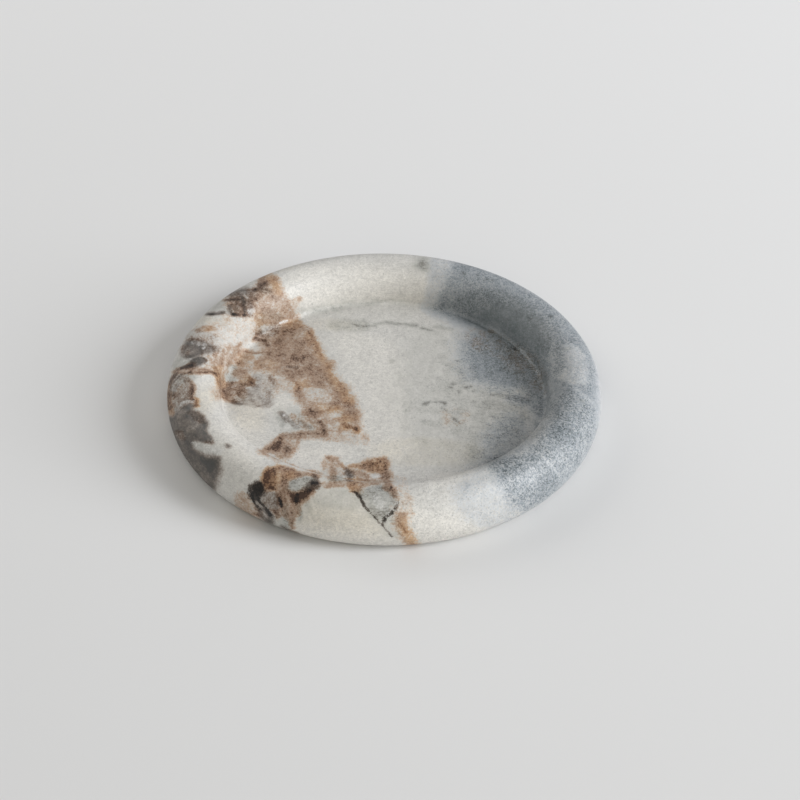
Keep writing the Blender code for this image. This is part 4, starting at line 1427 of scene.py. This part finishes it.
def marble_colour(tree, at):
    """The ground under its stains, threads and grain. Returns the colour and each stain's cover."""
    shades = {"slate": at.fine + at.bedding * 0.5, "mist": at.crystal + at.bedding * 1.4}

    def cover_of(name, size, tear, soak):
        """A pigment's cover, torn and soaked into the crystals."""
        given = {"Level": stored(tree, name), "Place": at.place, "Size": size, "Tear": tear, "Soak": soak}
        given["Crystal"] = shades.get(name, at.crystal)
        return term(tree, "ShaderNodeGroup", given, node_tree=ragged_patch)

    colour, covers = GROUND, {}
    for name, (size, tear, soak, stops) in STAINS.items():
        covers[name] = cover_of(name, size, tear, at.pepper * 0.9 + soak if name == "slate" else soak)
        colour = blend(tree, 1.0, colour, ramp(tree, covers[name], stops), "MULTIPLY")
        if name == "slate":
            colour = blend(tree, at.dark * 0.60, colour, DARK_TINT, "MULTIPLY")
            # Light crystals lighten the colour: pale crystals in part, painted glints of light in part.
            colour = blend(tree, at.bright * 0.25, colour, BRIGHT_AND_GLINT)
        if name == "rust":
            iron = span(tree, stored(tree, "ochre") + noise_term(tree, at.place, 3.0) * 1.6, -1.0, 1.0)
            colour = blend(tree, iron * span(tree, covers[name], 0.1, 0.4), colour, OCHRE_TINT, "MULTIPLY")
    colour = blend(tree, span(tree, cover_of("pale", *PALE_TEARING), 0.15, 0.8), colour, PALE)
    specks = noise_term(tree, at.place, 1.2) * SPECK_GRAIN
    grain = at.crystal * CRYSTAL_GRAIN + at.bedding * BEDDING_GRAIN + at.clouds * CLOUD_GRAIN + specks
    return blend(tree, 1.0, colour, grain + (1 - CRYSTAL_GRAIN / 2), "MULTIPLY"), covers


# %% The marble
HONED = 0.50  # roughness of the ground stone
HANDLED_DEPTH = 5.0 * MM  # under the crest, where hands wear the rim a little smoother
SAWN_HEIGHT = (1.0 * MM, 0.2 * MM)  # over the base, where its coarser grinding begins and is full


def finish_marble(material):
    """Fills the material with the stone's nodes."""
    tree, shader = shader_of(material)
    at = marble_terms(tree)
    colour, covers = marble_colour(tree, at)
    feed(tree, shader.inputs["Base Color"], colour)

    handled = span(tree, at.height, stone_high.z - HANDLED_DEPTH, stone_high.z, smooth=True)
    sawn = span(tree, at.height, *(base_level + height for height in SAWN_HEIGHT))
    dull = covers["rust"] * 0.10 + (at.crystal - 0.5) * 0.14 + at.clouds * 0.05 + sawn * 0.12
    feed(tree, shader.inputs["Roughness"], dull + HONED - handled * 0.06)

    relief = (at.crystal - 0.5) * 0.012 + noise_term(tree, at.place, 0.35) * 0.008 - at.dark * 0.02
    pits = span(tree, covers["rust"] + noise_term(tree, at.place, 0.8), 0.6, 1.3) * -0.04
    scratches = noise_term(tree, at.place, 0.2) * sawn * 0.02
    bump(tree, shader, 0.7, relief + pits + scratches)


finish_marble(marble)
print("marble:", len(marble.node_tree.nodes), "nodes")

# %% [markdown]
# ## Four clear pads
#
# Trays like this one stand on stick-on pads, so that the stone doesn't scratch the table. A pad is a
# small drop of clear silicone, moulded with softened edges, on a film of adhesive. The four are
# copies of one shape on one circle, which is what instances are for: one tree turns a filleted
# section into a disc and places it on the points of a ring. It is grown twice, once for the pads
# and once for their films.

# %% The pads' tree
PAD_STEPS_AROUND = 48
PAD_EDGE_STEPS = 4
FIRST_CORNER = 7  # the number of the Quadrilateral node's input for its first corner


def discs_tree():
    """Small turned discs with rounded edges, one on each point of a circle."""
    tree, given, out = new_tree(
        "GeometryNodeTree",
        "discs on a circle",
        {
            "Count": (COUNT, 1),
            "Circle Radius": (LENGTH, 0.0),
            "First Angle": (ANGLE, 0.0),
            "Disc Radius": (LENGTH, 0.0),
            "Low": (LENGTH, 0.0),
            "High": (LENGTH, 0.0),
            "Edge Radius": (LENGTH, 0.0),
            "Finish": (FINISH, None),
        },
        {"Geometry": SHAPE},
    )
    inwards, low, high = 0 - given["Disc Radius"], 0 - given["Low"], 0 - given["High"]
    corners = [point_term(tree, x, y) for x, y in ((inwards, high), (0.0, high), (0.0, low), (inwards, low))]
    section = term(
        tree,
        "GeometryNodeCurvePrimitiveQuadrilateral",
        {FIRST_CORNER + i: corner for i, corner in enumerate(corners)},
        mode="POINTS",
    )
    opened = term(tree, "GeometryNodeSetSplineCyclic", {"Geometry": section, "Cyclic": False})
    rounded = term(
        tree,
        "GeometryNodeFilletCurve",
        {"Curve": opened, "Radius": given["Edge Radius"], "Count": PAD_EDGE_STEPS},
        mode="POLY",
    )
    around = circle_term(tree, PAD_STEPS_AROUND, given["Disc Radius"])
    disc = term(tree, "GeometryNodeCurveToMesh", {"Curve": around, "Profile Curve": rounded})
    disc = term(tree, "GeometryNodeMergeByDistance", {"Geometry": disc, "Distance": SEAM_MERGE / 10})
    circle = circle_term(tree, given["Count"], given["Circle Radius"])
    turn = point_term(tree, 0.0, 0.0, given["First Angle"])
    circle = term(tree, "GeometryNodeTransform", {"Geometry": circle, "Rotation": turn})
    copies = term(tree, "GeometryNodeInstanceOnPoints", {"Points": circle, "Instance": disc})
    finish_tree(tree, out, copies, given["Finish"])
    return tree


# %% Pads and adhesive films
PAD_NODES = ["foot_pad_1", "foot_pad_2", "foot_pad_3", "foot_pad_4"]
PAD_EDGE_RADIUS = 0.15 * MM
FILM_INSET = 0.35 * MM  # the film ends short of the pad's edge all round
FILM_CLEARANCE = 0.02 * MM
FILM_EDGE_RADIUS = 0.04 * MM
DUST = (0.5, 0.48, 0.45, 1.0)

pad_low, pad_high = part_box(PAD_NODES[0])
pad_middle = (pad_low + pad_high) / 2
pad_radius = (pad_high.x - pad_low.x) / 2


def soft_clear(name, colour, roughness, haze):
    """A clear soft plastic: slightly milky, dusted, and dulled unevenly by handling."""
    material = bpy.data.materials.new(name)
    tree, shader = shader_of(material)
    place = term(tree, "ShaderNodeMapping", {"Vector": object_places(tree), "Scale": (1 / MM,) * 3})
    clouds, dust = noise_term(tree, place, 1.4), noise_term(tree, place, 0.25)
    milk = (*(haze * part for part in colour), 1.0)
    milky = blend(tree, span(tree, clouds, -0.4, 0.4), (*colour, 1.0), milk)
    feed(tree, shader.inputs["Base Color"], blend(tree, span(tree, dust, 0.25, 0.5), milky, DUST))
    feed(tree, shader.inputs["Roughness"], clouds * 0.15 + span(tree, dust, 0.1, 0.5) * 0.3 + roughness)
    bump(tree, shader, 0.3, clouds * 0.03 + dust * 0.01)
    shader.inputs["IOR"].default_value = 1.41
    shader.inputs["Transmission Weight"].default_value = 0.55
    return material


def discs(name, radius, low, high, edge, finish):
    """One disc under each pad's place."""
    return grown(
        name,
        discs_tree(),
        {
            "Count": len(PAD_NODES),
            "Circle Radius": math.hypot(pad_middle.x, pad_middle.y),
            "First Angle": math.atan2(pad_middle.y, pad_middle.x),
            "Disc Radius": radius,
            "Low": low,
            "High": high,
            "Edge Radius": edge,
            "Finish": finish,
        },
    )


pads = discs(
    "silicone_pads",
    pad_radius,
    0.0,
    pad_high.z,
    PAD_EDGE_RADIUS,
    soft_clear("clear silicone", (0.80, 0.82, 0.82), 0.32, 0.9),
)
films = discs(
    "adhesive_films",
    pad_radius - FILM_INSET,
    pad_high.z + FILM_CLEARANCE,
    base_level - FILM_CLEARANCE,
    FILM_EDGE_RADIUS,
    soft_clear("acrylic adhesive", (0.78, 0.76, 0.66), 0.45, 0.85),
)
print("pads:", len(pads.data.polygons), "faces; films:", len(films.data.polygons), "faces")

# %% [markdown]
# ## Floor and light
#
# The tray stands on a seamless pale floor that fades into the sky far from it. A tall soft lamp from
# the right, a little towards the viewer, makes the one soft shadow on the left. Three weaker ones fill
# the front, the back and the left from behind, and the even sky light of a bright studio does the
# rest. Each lamp is given by its share of the light that reaches the floor. With the sky the shares
# add up to very nearly one, so that colours render about as they are written.

# %% The floor
FLOOR_SIZE = 3.4
FLOOR_FADE = (1.15, 1.65)  # where the paper begins to fade into the sky and where it is gone, in m
FLOOR_COLOUR = (0.77, 0.77, 0.77)
# Painted light: the paper's colour grows paler towards the back, standing in for how the light falls on it.
FLOOR_PAINTED_LIGHT = 0.38  # how much paler the paper turns for each metre to the back
FLOOR_PAINTED_LIGHT_LIMITS = (0.9, 1.2)


def make_floor():
    """One large sheet under the tray, its colour painted paler towards the back as light."""
    half = FLOOR_SIZE / 2
    mesh = bpy.data.meshes.new("studio_floor")
    corners = [(-half, -half, 0), (half, -half, 0), (half, half, 0), (-half, half, 0)]
    mesh.from_pydata(corners, [], [(0, 1, 2, 3)])
    floor = added("studio_floor", mesh)
    paper = bpy.data.materials.new("floor paper")
    tree, shader = shader_of(paper)
    split = add_node(tree, "ShaderNodeSeparateXYZ", {0: object_places(tree)})
    across, back = Term(tree, split.outputs["X"]), Term(tree, split.outputs["Y"])
    reach = math_node(tree, "POWER", across * across + back * back, 0.5)
    feed(tree, shader.inputs["Alpha"], span(tree, reach, *FLOOR_FADE, 1.0, 0.0, smooth=True))
    darkest, palest = FLOOR_PAINTED_LIGHT_LIMITS
    # painted light: the paper's colour is made paler towards the back, within limits
    painted_light = math_node(tree, "MAXIMUM", darkest, math_node(tree, "MINIMUM", back * FLOOR_PAINTED_LIGHT + 1.0, palest))
    feed(tree, shader.inputs["Base Color"], blend(tree, 1.0, (*FLOOR_COLOUR, 1.0), painted_light, "MULTIPLY"))
    shader.inputs["Roughness"].default_value = 0.9
    shader.inputs["Specular IOR Level"].default_value = 0.1
    mesh.materials.append(paper)
    return floor


floor_sheet = make_floor()
print("floor:", tuple(floor_sheet.dimensions))

# %% The lamps
LAMPS = {
    # name: (azimuth from +X in degrees, elevation, distance in m, width and height in m, share, colour)
    "key": (-17.0, 26.0, 2.0, (0.8, 1.4), 0.455, (0.98, 1.0, 1.03)),
    "front_fill": (-88.0, 31.0, 1.8, (1.3, 1.3), 0.125, (1.05, 1.0, 0.87)),
    "back_fill": (85.0, 40.0, 2.0, (1.6, 1.6), 0.055, (0.98, 1.0, 1.08)),
    "left_fill": (147.0, 34.0, 2.0, (1.4, 1.4), 0.155, (1.02, 1.0, 0.96)),
}


def make_lamp(name, azimuth, elevation, distance, size, share, colour):
    """A soft rectangular lamp that looks at the tray and gives its share of the floor's light."""
    turn, rise = math.radians(azimuth), math.radians(elevation)
    direction = Vector((math.cos(turn) * math.cos(rise), math.sin(turn) * math.cos(rise), math.sin(rise)))
    light = bpy.data.lights.new(name, "AREA")
    light.energy = share * math.pi**2 * distance**2 / math.sin(rise)
    light.color = colour
    light.shape = "RECTANGLE"
    light.size, light.size_y = size
    lamp = added(name, light)
    lamp.location = direction * distance
    lamp.rotation_mode = "QUATERNION"
    lamp.rotation_quaternion = direction.to_track_quat("Z", "Y")
    return lamp


for lamp_name, lamp_values in LAMPS.items():
    make_lamp(lamp_name, *lamp_values)
print("lamps:", {name: lamp_values[4] for name, lamp_values in LAMPS.items()})

# %% The sky, and how much light there is in all
SKY_SHARE = 0.20
SKY_SEEN = 0.75  # how bright the sky looks past the floor


def make_sky():
    """Even light from all round, and white where the camera sees past the floor."""
    world = bpy.context.scene.world or bpy.data.worlds.new("studio")
    bpy.context.scene.world = world
    world.use_nodes = True
    tree = world.node_tree
    path = tree.nodes.new("ShaderNodeLightPath")
    seen = Term(tree, path.outputs["Is Camera Ray"])
    background = tree.nodes["Background"]
    background.inputs["Color"].default_value = (1.0, 1.0, 1.0, 1.0)
    feed(tree, background.inputs["Strength"], SKY_SHARE + seen * (SKY_SEEN - SKY_SHARE))


make_sky()
bpy.context.scene.view_settings.view_transform = "Standard"
light_share = SKY_SHARE + sum(lamp_values[4] for lamp_values in LAMPS.values())
print(f"light: {light_share:.2f} of full, from the sky and {len(LAMPS)} lamps")

# %% [markdown]
# ## Hand over to the frame
#
# Every piece rides on the part's one body, and the stone and the pads take their imported nodes'
# places. The films have no node of their own.

# %% Hand over to the frame
for piece, slot, nodes in (
    (stone, "marble", ["stone_tray"]),
    (pads, "clear_silicone", PAD_NODES),
    (films, "clear_silicone", []),
):
    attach(piece, "root")
    if nodes:
        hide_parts(*nodes)
